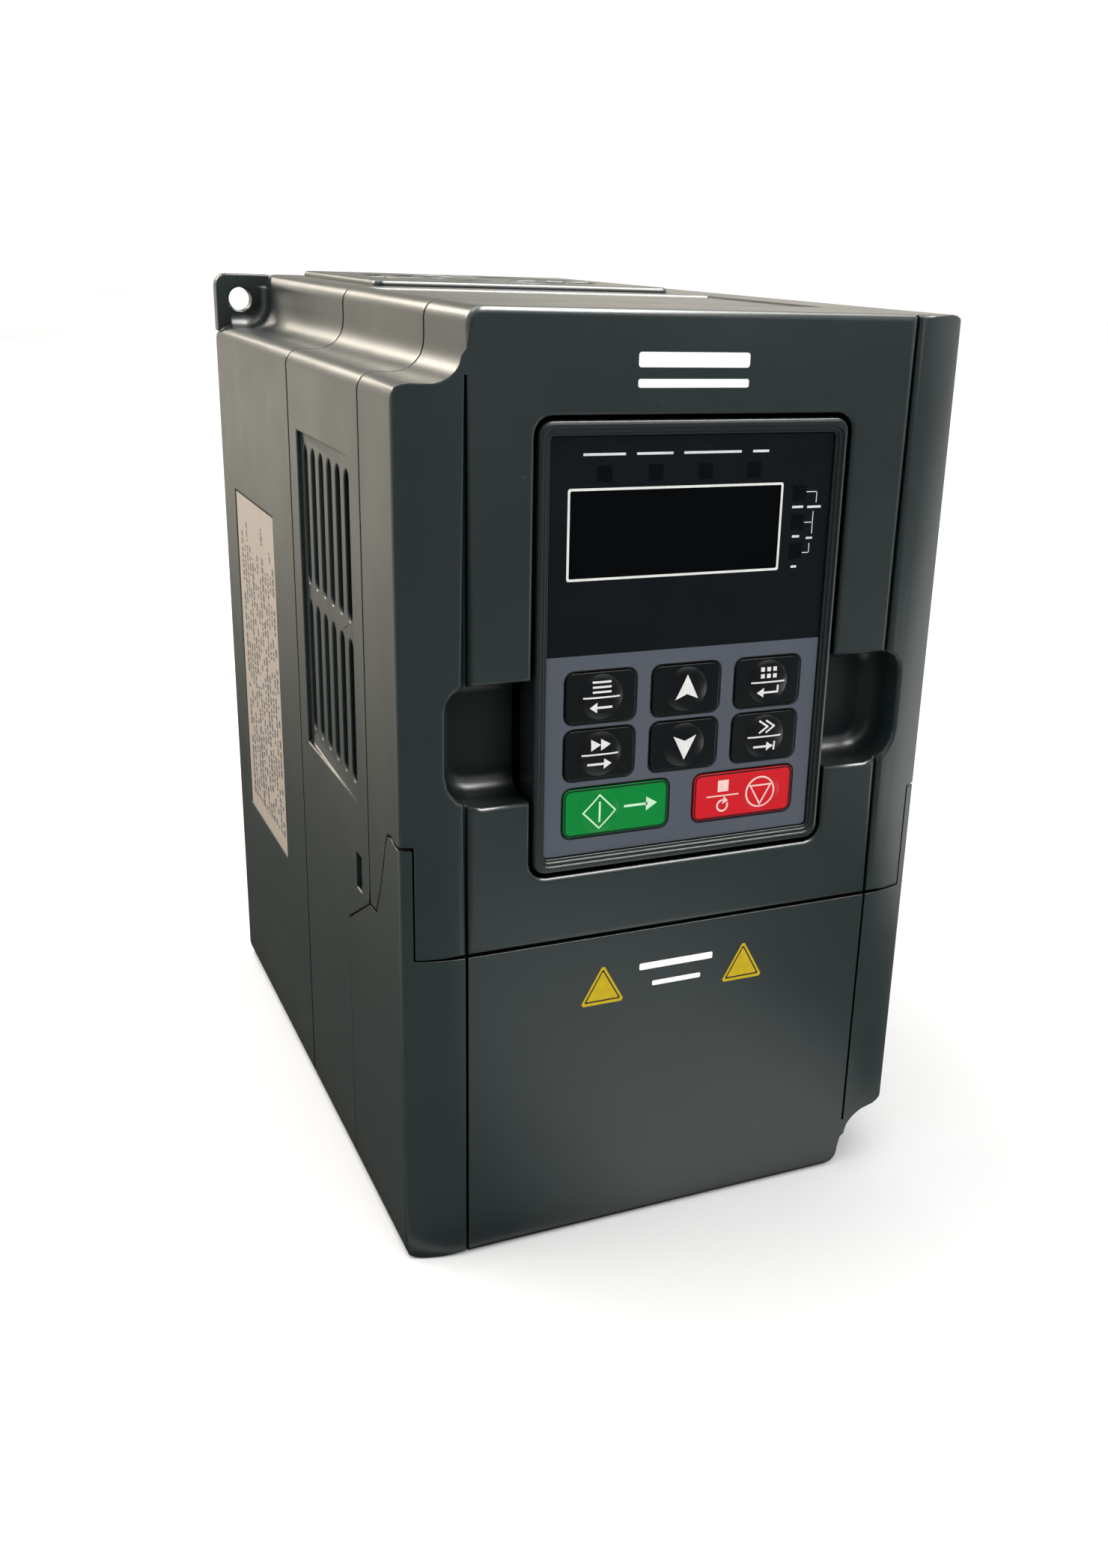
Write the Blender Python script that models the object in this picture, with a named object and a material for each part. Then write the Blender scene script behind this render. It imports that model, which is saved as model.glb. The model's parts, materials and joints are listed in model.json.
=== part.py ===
"""Variable frequency drive: a wall-mounted plastic case with a plug-in keypad.

Lengths below are millimetres: x runs to the right, d back from the front panel, z up from
the bottom edge. point() turns them into metres in the model's frame, whose origin is the
middle of the base, with +Z up and the keypad facing -Y.
"""
import math

import bmesh
import bpy
from mathutils import Matrix, Vector

# Case
WIDTH = 113.4
HEIGHT = 185.0
DEPTH = 157.0
WALL = 2.4
GAP = 0.3
CORNER_R = 3.0
CORNER_STEPS = 4
FRONT_EDGE_R = 1.2

# Screw notches at the top left and bottom right corners, and the ears that close them at the back
NOTCH_W = 12.4
NOTCH_H = 12.5
NOTCH_INNER_R = 5.8
INNER_STEPS = 6
EAR_THICK = 3.8
EAR_CORNER_R = 2.8
EAR_FILLET_R = 3.0
EAR_HOLE_R = 2.8
EAR_HOLE_FROM_SIDE = 5.8
EAR_HOLE_FROM_END = 5.9

# Where the case splits, measured back from the front panel and up from the bottom
UPPER_SPLIT_D = 23.6
LOWER_SPLIT_D = 41.0
REAR_SPLIT_D = 79.4
COVER_SPLIT_Z = 67.0
SPLIT_SLOPE_LOW_Z = 60.1
SPLIT_SLOPE_HIGH_Z = 70.1

# Front panel: flat between two grooves, with shoulders that fall away to the sides
GROOVE_X = 44.6
GROOVE_W = 1.0
GROOVE_DEEP = 1.2
GROOVE_END = 11.0
SHOULDER_FALL = 1.2 / 9.3
SIDE_EDGE_R = 2.8

# Snap tabs of the terminal cover, which reach up the sides of the case
TAB_X = 54.4
TAB_EDGE = [(-2.0, 89.3), (5.5, 89.3), (8.0, 90.0), (10.2, 89.4), (11.7, 87.0),
            (13.4, 82.0), (15.9, 76.0), (19.2, SPLIT_SLOPE_HIGH_Z - 0.1)]

# Keypad
KEYPAD_Z = 124.1
KEYPAD_W = 62.6
KEYPAD_H = 84.6
KEYPAD_R = 2.6
POCKET_GAP = 0.8
POCKET_DEEP = 13.0
OVERLAY_W = 57.6
OVERLAY_H = 78.8
OVERLAY_D = 1.3
BEZEL_STEPS = ((3.1, 0.45), (1.6, 0.8))
KEY_W = 14.1
KEY_H = 9.6
KEY_R = 1.5
WIDE_KEY_W = 22.0
KEY_PITCH_X = 17.8
WIDE_KEY_X = 13.9
KEY_ROWS_Z = (115.9, 104.7, 93.1)
KEY_PROUD = 0.15
KEY_THICK = 0.8
STEM_R = 2.5
DISPLAY_X = -3.4
DISPLAY_Z = 146.2
DISPLAY_W = 42.6
DISPLAY_H = 15.4
LED_SIZE = 2.3
STATUS_LED_Z = 157.0
STATUS_LED_PITCH = 10.1
UNIT_LED_X = 22.1
UNIT_LED_ROWS_Z = (152.4, 146.9, 141.4)

# Finger hollows on either side of the keypad
HOLLOW_OUT_X = 48.4
HOLLOW_LOW_Z = 96.8
HOLLOW_HIGH_Z = 120.2
HOLLOW_DEEP = 10.0
HOLLOW_HIGH_R = 4.8
HOLLOW_LOW_R = 6.8
HOLLOW_FLOOR_R = 4.0

# Side vents and latch windows of the middle housing
VENT_FRONT_D = 30.0
VENT_BACK_D = 72.6
VENT_LOW_Z = 89.2
VENT_HIGH_Z = 156.8
VENT_DEEP = 1.1
VENT_SLOTS = 6
VENT_SLOT_W = 4.0
VENT_FIRST_D = 33.4
VENT_PITCH = 7.25
VENT_ROWS_Z = ((92.7, 121.8), (125.2, 154.2))
LATCH_D = (29.8, 33.9)
LATCH_Z = (69.9, 77.6)

# Cable entries in the lower end of the terminal cover
CABLE_ENTRY_X = (-35.0, -6.5, 22.0)
CABLE_ENTRY_W = 21.0
CABLE_ENTRY_D = 20.0
CABLE_ENTRY_R = 5.0

# Boards, heatsink and fan
DECK_D = 30.5
DECK_THICK = 2.0
SHELF_Z = 38.0
BAY_BACK_D = 50.0
CONTROL_BOARD_D = 26.0
POWER_BOARD_D = 72.6
BOARD_THICK = 1.6
FLANGE_D = 84.0
FLANGE_THICK = 2.5
SINK_D = FLANGE_D + FLANGE_THICK + GAP
SINK_BASE = 5.7
SINK_FINS = 13
SINK_FIN_T = 1.8
SINK_HALF_W = 47.0
SINK_LOW_Z = 16.0
SINK_HIGH_Z = 162.0
SINK_SCREWS = [(x, z) for x in (-44.3, 44.3) for z in (40.0, 140.0)]
CONTROL_BOARD_SCREWS = [(x, z) for x in (-42.0, 42.0) for z in (64.0, 160.0)]
EARTH_SCREWS = [(-49.0, 30.0), (-49.0, 20.0)]
FAN_D = 120.7
FAN_HALF = 30.0
FAN_LOW_Z = 167.0
FAN_HIGH_Z = 182.0
FAN_DUCT_R = 28.0
FAN_BLADES = 7
FAN_COVER_HALF_X = 35.1
FAN_COVER_PROUD = 1.2


def point(x, d, z):
    """A place in the model's frame, in metres."""
    return Vector((x, d - DEPTH / 2, z)) * 0.001


# ---------------------------------------------------------------- outlines

def arc(centre_a, centre_b, radius, start_deg, end_deg, steps):
    """Points along an arc, both ends included."""
    points = []
    for i in range(steps + 1):
        angle = math.radians(start_deg + (end_deg - start_deg) * i / steps)
        points.append((centre_a + radius * math.cos(angle), centre_b + radius * math.sin(angle)))
    return points


def rounded_rect(centre_a, centre_b, width, height, radius, steps=4, low_radius=None):
    """Outline of a rectangle with round corners; the two low ones may have their own radius."""
    points = []
    for quarter, (sign_a, sign_b) in enumerate(((1, 1), (-1, 1), (-1, -1), (1, -1))):
        size = low_radius if low_radius and sign_b < 0 else radius
        points += arc(centre_a + sign_a * (width / 2 - size), centre_b + sign_b * (height / 2 - size),
                      size, quarter * 90, quarter * 90 + 90, steps)
    return points


def circle(centre_a, centre_b, radius, steps):
    """Outline of a circle."""
    return arc(centre_a, centre_b, radius, 0, 360, steps)[:-1]


def case_outline(inset=0.0):
    """The case from the front, anticlockwise, moved inwards by inset."""
    corner = max(CORNER_R - inset, 0.3)
    side = WIDTH / 2 - inset
    notch_x = WIDTH / 2 - NOTCH_W - inset
    notch_z = NOTCH_H + inset
    inner = NOTCH_INNER_R + inset
    half = arc(-side + corner, inset + corner, corner, 180, 270, CORNER_STEPS)
    half += arc(notch_x - corner, inset + corner, corner, 270, 360, CORNER_STEPS)
    half += arc(notch_x + inner, notch_z - inner, inner, 180, 90, INNER_STEPS)
    half += arc(side - corner, notch_z + corner, corner, 270, 360, CORNER_STEPS)
    return half + [(-x, HEIGHT - z) for x, z in half]


def clip(points, limit, keep_above):
    """The part of an outline above or below the level z = limit."""
    kept = []
    for i, (x1, z1) in enumerate(points):
        x0, z0 = points[i - 1]
        inside0 = (z0 > limit) == keep_above
        inside1 = (z1 > limit) == keep_above
        if inside0 != inside1:
            share = (limit - z0) / (z1 - z0)
            kept.append((x0 + (x1 - x0) * share, limit))
        if inside1:
            kept.append((x1, z1))
    return kept


def front_section():
    """The front panel from above: flat middle, sloping shoulders and round side edges."""
    slope = math.atan(SHOULDER_FALL)
    centre_x = WIDTH / 2 - SIDE_EDGE_R
    end_x = centre_x + SIDE_EDGE_R * math.sin(slope)
    centre_d = SHOULDER_FALL * (end_x - GROOVE_X) + SIDE_EDGE_R * math.cos(slope)
    right = arc(centre_x, centre_d, SIDE_EDGE_R, -90 + math.degrees(slope), 0, 6)
    left = [(-x, d) for x, d in reversed(right)]
    back = LOWER_SPLIT_D + 5
    return [(-WIDTH / 2, back)] + left + [(-GROOVE_X, 0), (GROOVE_X, 0)] + right + [(WIDTH / 2, back)]


# ---------------------------------------------------------------- solids

def place(axis, a, b, along):
    """A point of a profile, which lies across the named axis."""
    if axis == "x":
        return point(along, a, b)
    if axis == "d":
        return point(a, along, b)
    return point(a, b, along)


def prism(bm, axis, points, low, high):
    """Extrudes a profile along an axis: (d, z) along x, (x, z) along d, (x, d) along z."""
    start = [bm.verts.new(place(axis, a, b, low)) for a, b in points]
    end = [bm.verts.new(place(axis, a, b, high)) for a, b in points]
    bm.faces.new(start)
    cap = bm.faces.new(end)
    count = len(points)
    for i in range(count):
        j = (i + 1) % count
        bm.faces.new((start[i], start[j], end[j], end[i]))
    return cap


def box(bm, x, d, z):
    """A box given by its three (low, high) spans."""
    prism(bm, "z", [(x[0], d[0]), (x[1], d[0]), (x[1], d[1]), (x[0], d[1])], z[0], z[1])


def bevel_cap(bm, cap, radius, segments):
    """Rounds the rim of a prism's cap."""
    bmesh.ops.bevel(bm, geom=list(cap.edges), offset=radius * 0.001, offset_type="OFFSET",
                    segments=segments, profile=0.5, affect="EDGES")


def turned(bm, axis, centre_a, centre_b, profile, steps):
    """Turns a closed (radius, place) profile about an axis; radius 0 closes on the axis."""
    rings = []
    for radius, along in profile:
        if radius == 0:
            rings.append([bm.verts.new(place(axis, centre_a, centre_b, along))])
        else:
            rings.append([bm.verts.new(place(axis, a, b, along))
                          for a, b in circle(centre_a, centre_b, radius, steps)])
    for k, ring in enumerate(rings):
        other = rings[(k + 1) % len(rings)]
        if len(ring) == 1 and len(other) == 1:
            continue
        for i in range(steps):
            j = (i + 1) % steps
            corners = [ring[i % len(ring)], ring[j % len(ring)],
                       other[j % len(other)], other[i % len(other)]]
            bm.faces.new(list(dict.fromkeys(corners)))


def material(name, color, roughness, metallic=0.0):
    """A plain Principled material."""
    mat = bpy.data.materials.new(name)
    mat.use_nodes = True
    shader = mat.node_tree.nodes["Principled BSDF"]
    shader.inputs["Base Color"].default_value = (*color, 1.0)
    shader.inputs["Roughness"].default_value = roughness
    shader.inputs["Metallic"].default_value = metallic
    return mat


def make(name, bm, mat):
    """Turns a bmesh into a named object."""
    bmesh.ops.recalc_face_normals(bm, faces=bm.faces)
    mesh = bpy.data.meshes.new(name)
    bm.to_mesh(mesh)
    bm.free()
    mesh.shade_smooth()
    mesh.set_sharp_from_angle(angle=math.radians(32))
    if mat:
        mesh.materials.append(mat)
    obj = bpy.data.objects.new(name, mesh)
    bpy.context.scene.collection.objects.link(obj)
    return obj


def combine(target, label, bm, operation="DIFFERENCE"):
    """Cuts, joins or intersects an object with a hidden tool solid."""
    tool = make(f"{target.name}_{label}", bm, None)
    tool.hide_render = True
    tool.display_type = "WIRE"
    modifier = target.modifiers.new(label, "BOOLEAN")
    modifier.operation = operation
    modifier.solver = "EXACT"
    modifier.object = tool
    return tool


def set_origin(obj, origin):
    """Moves an object's origin without moving the object."""
    obj.data.transform(Matrix.Translation(-origin))
    obj.location = origin


def attach(objects, name, origin):
    """Parents objects to an empty that stands for their joint."""
    empty = bpy.data.objects.new(name, None)
    empty.location = origin
    bpy.context.scene.collection.objects.link(empty)
    for obj in objects:
        obj.parent = empty
        obj.matrix_parent_inverse = Matrix.Translation(-origin)
    return empty


def box_object(name, mat, *spans):
    """An object made of plain boxes, each given by its x, d and z spans."""
    bm = bmesh.new()
    for x, d, z in spans:
        box(bm, x, d, z)
    return make(name, bm, mat)


# ---------------------------------------------------------------- case

def ear_plates(bm, mirror):
    """The plate that closes a screw notch at the back."""
    side = WIDTH / 2
    low_x = side - NOTCH_W - 1
    high_z = NOTCH_H + 1
    corner = arc(side - EAR_CORNER_R, EAR_CORNER_R, EAR_CORNER_R, 270, 360, 4)
    points = [(low_x, 0.0)] + corner + [(side, high_z), (low_x, high_z)]
    if mirror:
        points = [(-x, HEIGHT - z) for x, z in points]
    prism(bm, "d", points, DEPTH - EAR_THICK, DEPTH)


def ear_fillet(bm, mirror):
    """A concave fillet that runs round the notch where it meets its ear."""
    on_wall = case_outline(0.0)
    off_wall = case_outline(-EAR_FILLET_R)
    face_d = DEPTH - EAR_THICK
    section = [(-0.15, face_d - EAR_FILLET_R - 0.2)]
    for offset, d in arc(1.0, -1.0, 1.0, 180, 90, 4):
        section.append((offset, face_d + d * EAR_FILLET_R))
    section += [(1.0, face_d + 0.5), (-0.15, face_d + 0.5)]
    first = 2 * CORNER_STEPS + 1
    last = first + INNER_STEPS + 2
    rings = []
    for i in range(first, last + 1):
        (x0, z0), (x1, z1) = on_wall[i], off_wall[i]
        ring = []
        for offset, d in section:
            x = x0 + (x1 - x0) * offset
            z = z0 + (z1 - z0) * offset
            if mirror:
                x, z = -x, HEIGHT - z
            ring.append(bm.verts.new(point(x, d, z)))
        rings.append(ring)
    bm.faces.new(rings[0])
    bm.faces.new(rings[-1])
    for ring, other in zip(rings, rings[1:]):
        for i in range(len(section)):
            j = (i + 1) % len(section)
            bm.faces.new((ring[i], ring[j], other[j], other[i]))


def ear_holes(bm):
    """The screw holes through both ears."""
    x = WIDTH / 2 - EAR_HOLE_FROM_SIDE
    z = EAR_HOLE_FROM_END
    for hole_x, hole_z in ((x, z), (-x, HEIGHT - z)):
        prism(bm, "d", circle(hole_x, hole_z, EAR_HOLE_R, 24), DEPTH - 8, DEPTH + 2)


def make_rear_housing(mats):
    """Rear shell: ears, heatsink flange, fan opening, air inlet slots and nameplate recess."""
    front = REAR_SPLIT_D + GAP / 2
    bm = bmesh.new()
    prism(bm, "d", case_outline(), front, DEPTH)
    shell = make("rear_housing", bm, mats["case"])
    for label, mirror in (("ear_low", False), ("ear_high", True)):
        bm = bmesh.new()
        ear_plates(bm, mirror)
        combine(shell, label, bm, "UNION")
        bm = bmesh.new()
        ear_fillet(bm, mirror)
        combine(shell, label + "_fillet", bm, "UNION")
    bm = bmesh.new()
    prism(bm, "d", case_outline(WALL), front - 2, FLANGE_D)
    combine(shell, "front_cavity", bm)
    bm = bmesh.new()
    prism(bm, "d", case_outline(WALL), FLANGE_D + FLANGE_THICK, DEPTH + 2)
    combine(shell, "back_cavity", bm)
    bm = bmesh.new()
    box(bm, (-42, 42), (FLANGE_D - 2, FLANGE_D + 4), (22, 158))
    combine(shell, "flange_opening", bm)
    bm = bmesh.new()
    for x, z in SINK_SCREWS:
        prism(bm, "d", circle(x, z, 1.9, 12), FLANGE_D - 2, FLANGE_D + 4)
    ear_holes(bm)
    half = FAN_COVER_HALF_X + 0.4
    box(bm, (-half, half), (87.0, 154.0), (HEIGHT - 6, HEIGHT + 3))
    for i in range(9):
        x = -36.0 + i * 9.0
        box(bm, (x - 1.9, x + 1.9), (95.0, 148.0), (-2, 6))
    box(bm, (-WIDTH / 2 - 2, -WIDTH / 2 + 0.6), (100.0, 143.1), (50.8, 134.2))
    combine(shell, "openings", bm)
    return shell


def make_middle_housing(mats):
    """Middle shell: side vents, latch windows and the deck that carries the control board."""
    front = UPPER_SPLIT_D + GAP / 2
    back = REAR_SPLIT_D - GAP / 2
    bm = bmesh.new()
    prism(bm, "d", case_outline(), front, back)
    shell = make("middle_housing", bm, mats["case"])
    bm = bmesh.new()
    prism(bm, "d", case_outline(WALL), front - 2, back + 2)
    combine(shell, "hollow", bm)
    edge = LOWER_SPLIT_D + GAP / 2
    step = [(front - 3, -2), (edge, -2), (edge, SPLIT_SLOPE_LOW_Z + 0.1),
            (front, SPLIT_SLOPE_HIGH_Z + 0.2), (front - 3, SPLIT_SLOPE_HIGH_Z + 0.2)]
    bm = bmesh.new()
    prism(bm, "x", step, -WIDTH, WIDTH)
    combine(shell, "cover_side_step", bm)
    overlap = WALL - 0.2
    deck_back = DECK_D + DECK_THICK
    inner_x = WIDTH / 2 - WALL - 0.4
    bm = bmesh.new()
    prism(bm, "d", clip(case_outline(overlap), SPLIT_SLOPE_HIGH_Z + 3, True), DECK_D, deck_back)
    combine(shell, "deck", bm, "UNION")
    bm = bmesh.new()
    profile = [(DECK_D + 0.01, SPLIT_SLOPE_HIGH_Z + 4), (DECK_D + 0.01, SHELF_Z),
               (edge + 1, SHELF_Z), (edge + 1, SHELF_Z + 2), (deck_back - 0.01, SHELF_Z + 2),
               (deck_back - 0.01, SPLIT_SLOPE_HIGH_Z + 4)]
    prism(bm, "x", profile, -inner_x, inner_x)
    combine(shell, "lower_deck", bm, "UNION")
    bm = bmesh.new()
    half = WIDTH / 2 - overlap
    box(bm, (-half, half), (edge + 0.5, BAY_BACK_D + 2), (SHELF_Z + 0.01, SHELF_Z + 1.99))
    combine(shell, "shelf", bm, "UNION")
    bm = bmesh.new()
    prism(bm, "d", clip(case_outline(overlap + 0.01), SHELF_Z + 1, False),
          BAY_BACK_D, BAY_BACK_D + 2.01)
    combine(shell, "bay_back", bm, "UNION")
    for side, label in ((-1, "left"), (1, "right")):
        face = side * WIDTH / 2
        bm = bmesh.new()
        wedge = [(face, VENT_FRONT_D), (face - side * VENT_DEEP, VENT_BACK_D),
                 (face + side * 2, VENT_BACK_D), (face + side * 2, VENT_FRONT_D)]
        prism(bm, "z", wedge, VENT_LOW_Z, VENT_HIGH_Z)
        combine(shell, f"vent_recess_{label}", bm)
        bm = bmesh.new()
        for i in range(VENT_SLOTS):
            for low, high in VENT_ROWS_Z:
                slot = rounded_rect(VENT_FIRST_D + i * VENT_PITCH, (low + high) / 2, VENT_SLOT_W,
                                    high - low, VENT_SLOT_W / 2 - 0.01, 3)
                prism(bm, "x", slot, face - side * 6, face + side * 3)
        box(bm, sorted((face - side * 6, face + side * 3)), LATCH_D, LATCH_Z)
        combine(shell, f"vent_slots_{label}", bm)
    bm = bmesh.new()
    box(bm, (-30, 30), (DECK_D - 1, deck_back + 1), (72, 78))
    top_recess = [(-39.5, 25.6), (39.5, 25.6), (39.5, 76.4), (-39.5, 76.4)]
    prism(bm, "z", top_recess, HEIGHT - 0.4, HEIGHT + 2)
    combine(shell, "openings", bm)
    return shell


def shaped_front(name, mats, outline, back):
    """A solid with the case outline, rounded in front and shaped like the front panel."""
    bm = bmesh.new()
    cap = prism(bm, "d", outline, back, 0.0)
    bevel_cap(bm, cap, FRONT_EDGE_R, 3)
    shell = make(name, bm, mats["case"])
    bm = bmesh.new()
    prism(bm, "z", front_section(), -3, HEIGHT + 3)
    combine(shell, "front_shape", bm, "INTERSECT")
    return shell


def grooves():
    """Cutters for the two long grooves of the front panel."""
    bm = bmesh.new()
    half = GROOVE_W / 2
    box(bm, (-GROOVE_X - half, -GROOVE_X + half), (-2, GROOVE_DEEP), (-3, HEIGHT - GROOVE_END))
    box(bm, (GROOVE_X - half, GROOVE_X + half), (-2, GROOVE_DEEP), (GROOVE_END, HEIGHT + 3))
    return bm


def tab_profile(grow_d, grow_z):
    """Free edge of a snap tab from the side, moved back and up to leave a gap."""
    return [(d + grow_d, z + grow_z) for d, z in TAB_EDGE]


def make_front_cover(mats):
    """Upper front cover: keypad pocket, finger hollows and room for the snap tabs."""
    back = UPPER_SPLIT_D - GAP / 2
    low = COVER_SPLIT_Z + GAP / 2
    shell = shaped_front("front_cover", mats, clip(case_outline(), low, True), back)
    bm = bmesh.new()
    prism(bm, "d", clip(case_outline(WALL), low + WALL, True), WALL, back + 2)
    combine(shell, "hollow", bm)
    pocket_w = KEYPAD_W + 2 * POCKET_GAP
    pocket_h = KEYPAD_H + 2 * POCKET_GAP
    bm = bmesh.new()
    prism(bm, "d", rounded_rect(0, KEYPAD_Z, pocket_w + 3.6, pocket_h + 3.6, 4.8),
          WALL - 0.3, POCKET_DEEP + 2)
    combine(shell, "pocket_tub", bm, "UNION")
    hollow_mid = (HOLLOW_LOW_Z + HOLLOW_HIGH_Z) / 2
    hollow_h = HOLLOW_HIGH_Z - HOLLOW_LOW_Z
    bm = bmesh.new()
    prism(bm, "d", rounded_rect(0, hollow_mid, 2 * HOLLOW_OUT_X + 3.6, hollow_h + 3.6, 5.0),
          WALL - 0.25, HOLLOW_DEEP + 1.8)
    combine(shell, "hollow_tub", bm, "UNION")
    for side, label in ((-1, "left"), (1, "right")):
        bm = bmesh.new()
        inside = sorted((side * (TAB_X - 2.6), side * (TAB_X + 0.6)))
        box(bm, inside, (WALL - 0.2, back - 0.5), (low + 0.5, 93))
        combine(shell, f"tab_backing_{label}", bm, "UNION")
        bm = bmesh.new()
        outside = sorted((side * (TAB_X - GAP), side * (WIDTH / 2 + 3)))
        slot = tab_profile(0.3, 0.7) + [(back + 2, SPLIT_SLOPE_HIGH_Z + 0.2), (back + 2, low - 3),
                                        (-2, low - 3)]
        prism(bm, "x", slot, outside[0], outside[1])
        combine(shell, f"tab_room_{label}", bm)
    bm = bmesh.new()
    prism(bm, "d", rounded_rect(0, KEYPAD_Z, pocket_w, pocket_h, KEYPAD_R + POCKET_GAP),
          -2, POCKET_DEEP)
    combine(shell, "pocket", bm)
    bm = bmesh.new()
    for side in (-1, 1):
        mid_x = side * (HOLLOW_OUT_X + 24) / 2
        rim = rounded_rect(mid_x, hollow_mid, HOLLOW_OUT_X - 24, hollow_h, HOLLOW_HIGH_R,
                           low_radius=HOLLOW_LOW_R)
        cap = prism(bm, "d", rim, -2, HOLLOW_DEEP)
        bevel_cap(bm, cap, HOLLOW_FLOOR_R, 4)
    combine(shell, "finger_hollows", bm)
    bm = bmesh.new()
    box(bm, (-10.2, 10.2), (POCKET_DEEP - 1, POCKET_DEEP + 4), (114, 134))
    combine(shell, "socket_hole", bm)
    combine(shell, "grooves", grooves())
    return shell


def make_terminal_cover(mats):
    """Lower front cover: closes the wiring bay and snaps on with two side tabs."""
    top = COVER_SPLIT_Z - GAP / 2
    edge = LOWER_SPLIT_D - GAP / 2
    shell = shaped_front("terminal_cover", mats, clip(case_outline(), 93, False), edge + 2)
    bm = bmesh.new()
    prism(bm, "d", clip(case_outline(WALL), 96, False), WALL, edge + 4)
    combine(shell, "hollow", bm)
    keep = [(-3, -3), (edge, -3), (edge, SPLIT_SLOPE_LOW_Z - 0.2),
            (UPPER_SPLIT_D + GAP / 2, SPLIT_SLOPE_HIGH_Z - 0.1)]
    keep += list(reversed(tab_profile(0, 0)))
    bm = bmesh.new()
    prism(bm, "x", keep, -WIDTH, WIDTH)
    combine(shell, "side_shape", bm, "INTERSECT")
    bm = bmesh.new()
    box(bm, (-TAB_X, TAB_X), (-4, edge + 4), (top, 96))
    for x in CABLE_ENTRY_X:
        end = [(x - CABLE_ENTRY_W / 2, edge + 4), (x + CABLE_ENTRY_W / 2, edge + 4)]
        round_x = CABLE_ENTRY_W / 2 - CABLE_ENTRY_R
        round_d = CABLE_ENTRY_D + CABLE_ENTRY_R
        end += arc(x + round_x, round_d, CABLE_ENTRY_R, 0, -90, 4)
        end += arc(x - round_x, round_d, CABLE_ENTRY_R, -90, -180, 4)
        prism(bm, "z", end, -3, 5)
    combine(shell, "openings", bm)
    combine(shell, "grooves", grooves())
    return shell


# ---------------------------------------------------------------- heatsink and fan

def make_heatsink(mats):
    """Aluminium base with a comb of fins that open to the back."""
    fin_front = SINK_D + SINK_BASE
    fin_back = DEPTH - 2
    pitch = (2 * SINK_HALF_W - SINK_FIN_T) / (SINK_FINS - 1)
    profile = [(SINK_HALF_W, SINK_D), (-SINK_HALF_W, SINK_D)]
    for i in range(SINK_FINS):
        left = -SINK_HALF_W + i * pitch
        profile += [(left, fin_front), (left, fin_back),
                    (left + SINK_FIN_T, fin_back), (left + SINK_FIN_T, fin_front)]
    del profile[2]
    del profile[-1]
    bm = bmesh.new()
    prism(bm, "z", profile, SINK_LOW_Z, SINK_HIGH_Z)
    sink = make("heatsink", bm, mats["aluminium"])
    bm = bmesh.new()
    for x, z in SINK_SCREWS:
        prism(bm, "d", circle(x, z, 1.9, 12), SINK_D - 1, SINK_D + 4.5)
    combine(sink, "screw_holes", bm)
    return sink


def screws(name, mat, places, head_d, head_r, head_t, shank_r, shank_t):
    """Pan-head screws along d, each its own object, their heads towards the front."""
    for number, (x, z) in enumerate(places, start=1):
        bm = bmesh.new()
        profile = [(0, head_d), (head_r * 0.7, head_d), (head_r, head_d + head_t * 0.4),
                   (head_r, head_d + head_t), (shank_r, head_d + head_t),
                   (shank_r, head_d + head_t + shank_t), (0, head_d + head_t + shank_t)]
        turned(bm, "d", x, z, profile, 12)
        make(f"{name}_{number}", bm, mat)


def make_fan(mats):
    """Fan frame with its duct, struts and bearing, and the rotor that spins in it."""
    low_d = FAN_D - FAN_HALF
    high_d = FAN_D + FAN_HALF
    bm = bmesh.new()
    prism(bm, "z", rounded_rect(0, FAN_D, 2 * FAN_HALF, high_d - low_d, 3), FAN_LOW_Z, FAN_HIGH_Z)
    frame = make("fan_frame", bm, mats["black_plastic"])
    bm = bmesh.new()
    prism(bm, "z", circle(0, FAN_D, FAN_DUCT_R, 36), FAN_LOW_Z - 2, FAN_HIGH_Z + 2)
    for sx in (-1, 1):
        for sd in (-1, 1):
            prism(bm, "z", circle(sx * 25, FAN_D + sd * 25, 2.1, 10), FAN_LOW_Z - 2, FAN_HIGH_Z + 2)
    combine(frame, "duct", bm)
    bm = bmesh.new()
    for angle in (45, 135, 225, 315):
        along = Vector((math.cos(math.radians(angle)), math.sin(math.radians(angle))))
        across = Vector((-along.y, along.x)) * 1.6
        points = [along * 5 + across, along * 5 - across, along * 29 - across, along * 29 + across]
        prism(bm, "z", [(p.x, FAN_D + p.y) for p in points], FAN_LOW_Z + 0.01, FAN_LOW_Z + 2.4)
    combine(frame, "struts", bm, "UNION")
    bm = bmesh.new()
    prism(bm, "z", circle(0, FAN_D, 12, 24), FAN_LOW_Z + 0.02, FAN_LOW_Z + 2.5)
    combine(frame, "motor_seat", bm, "UNION")
    bm = bmesh.new()
    prism(bm, "z", circle(0, FAN_D, 3.3, 16), FAN_LOW_Z - 2, FAN_LOW_Z + 5)
    combine(frame, "bearing_seat", bm)
    bm = bmesh.new()
    ring = [(1.8, FAN_LOW_Z + 0.2), (3.0, FAN_LOW_Z + 0.2), (3.0, FAN_LOW_Z + 2.6),
            (1.8, FAN_LOW_Z + 2.6)]
    turned(bm, "z", 0, FAN_D, ring, 16)
    bearing = make("fan_bearing", bm, mats["brass"])
    rotor = make_rotor(mats)
    return frame, bearing, rotor


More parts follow.
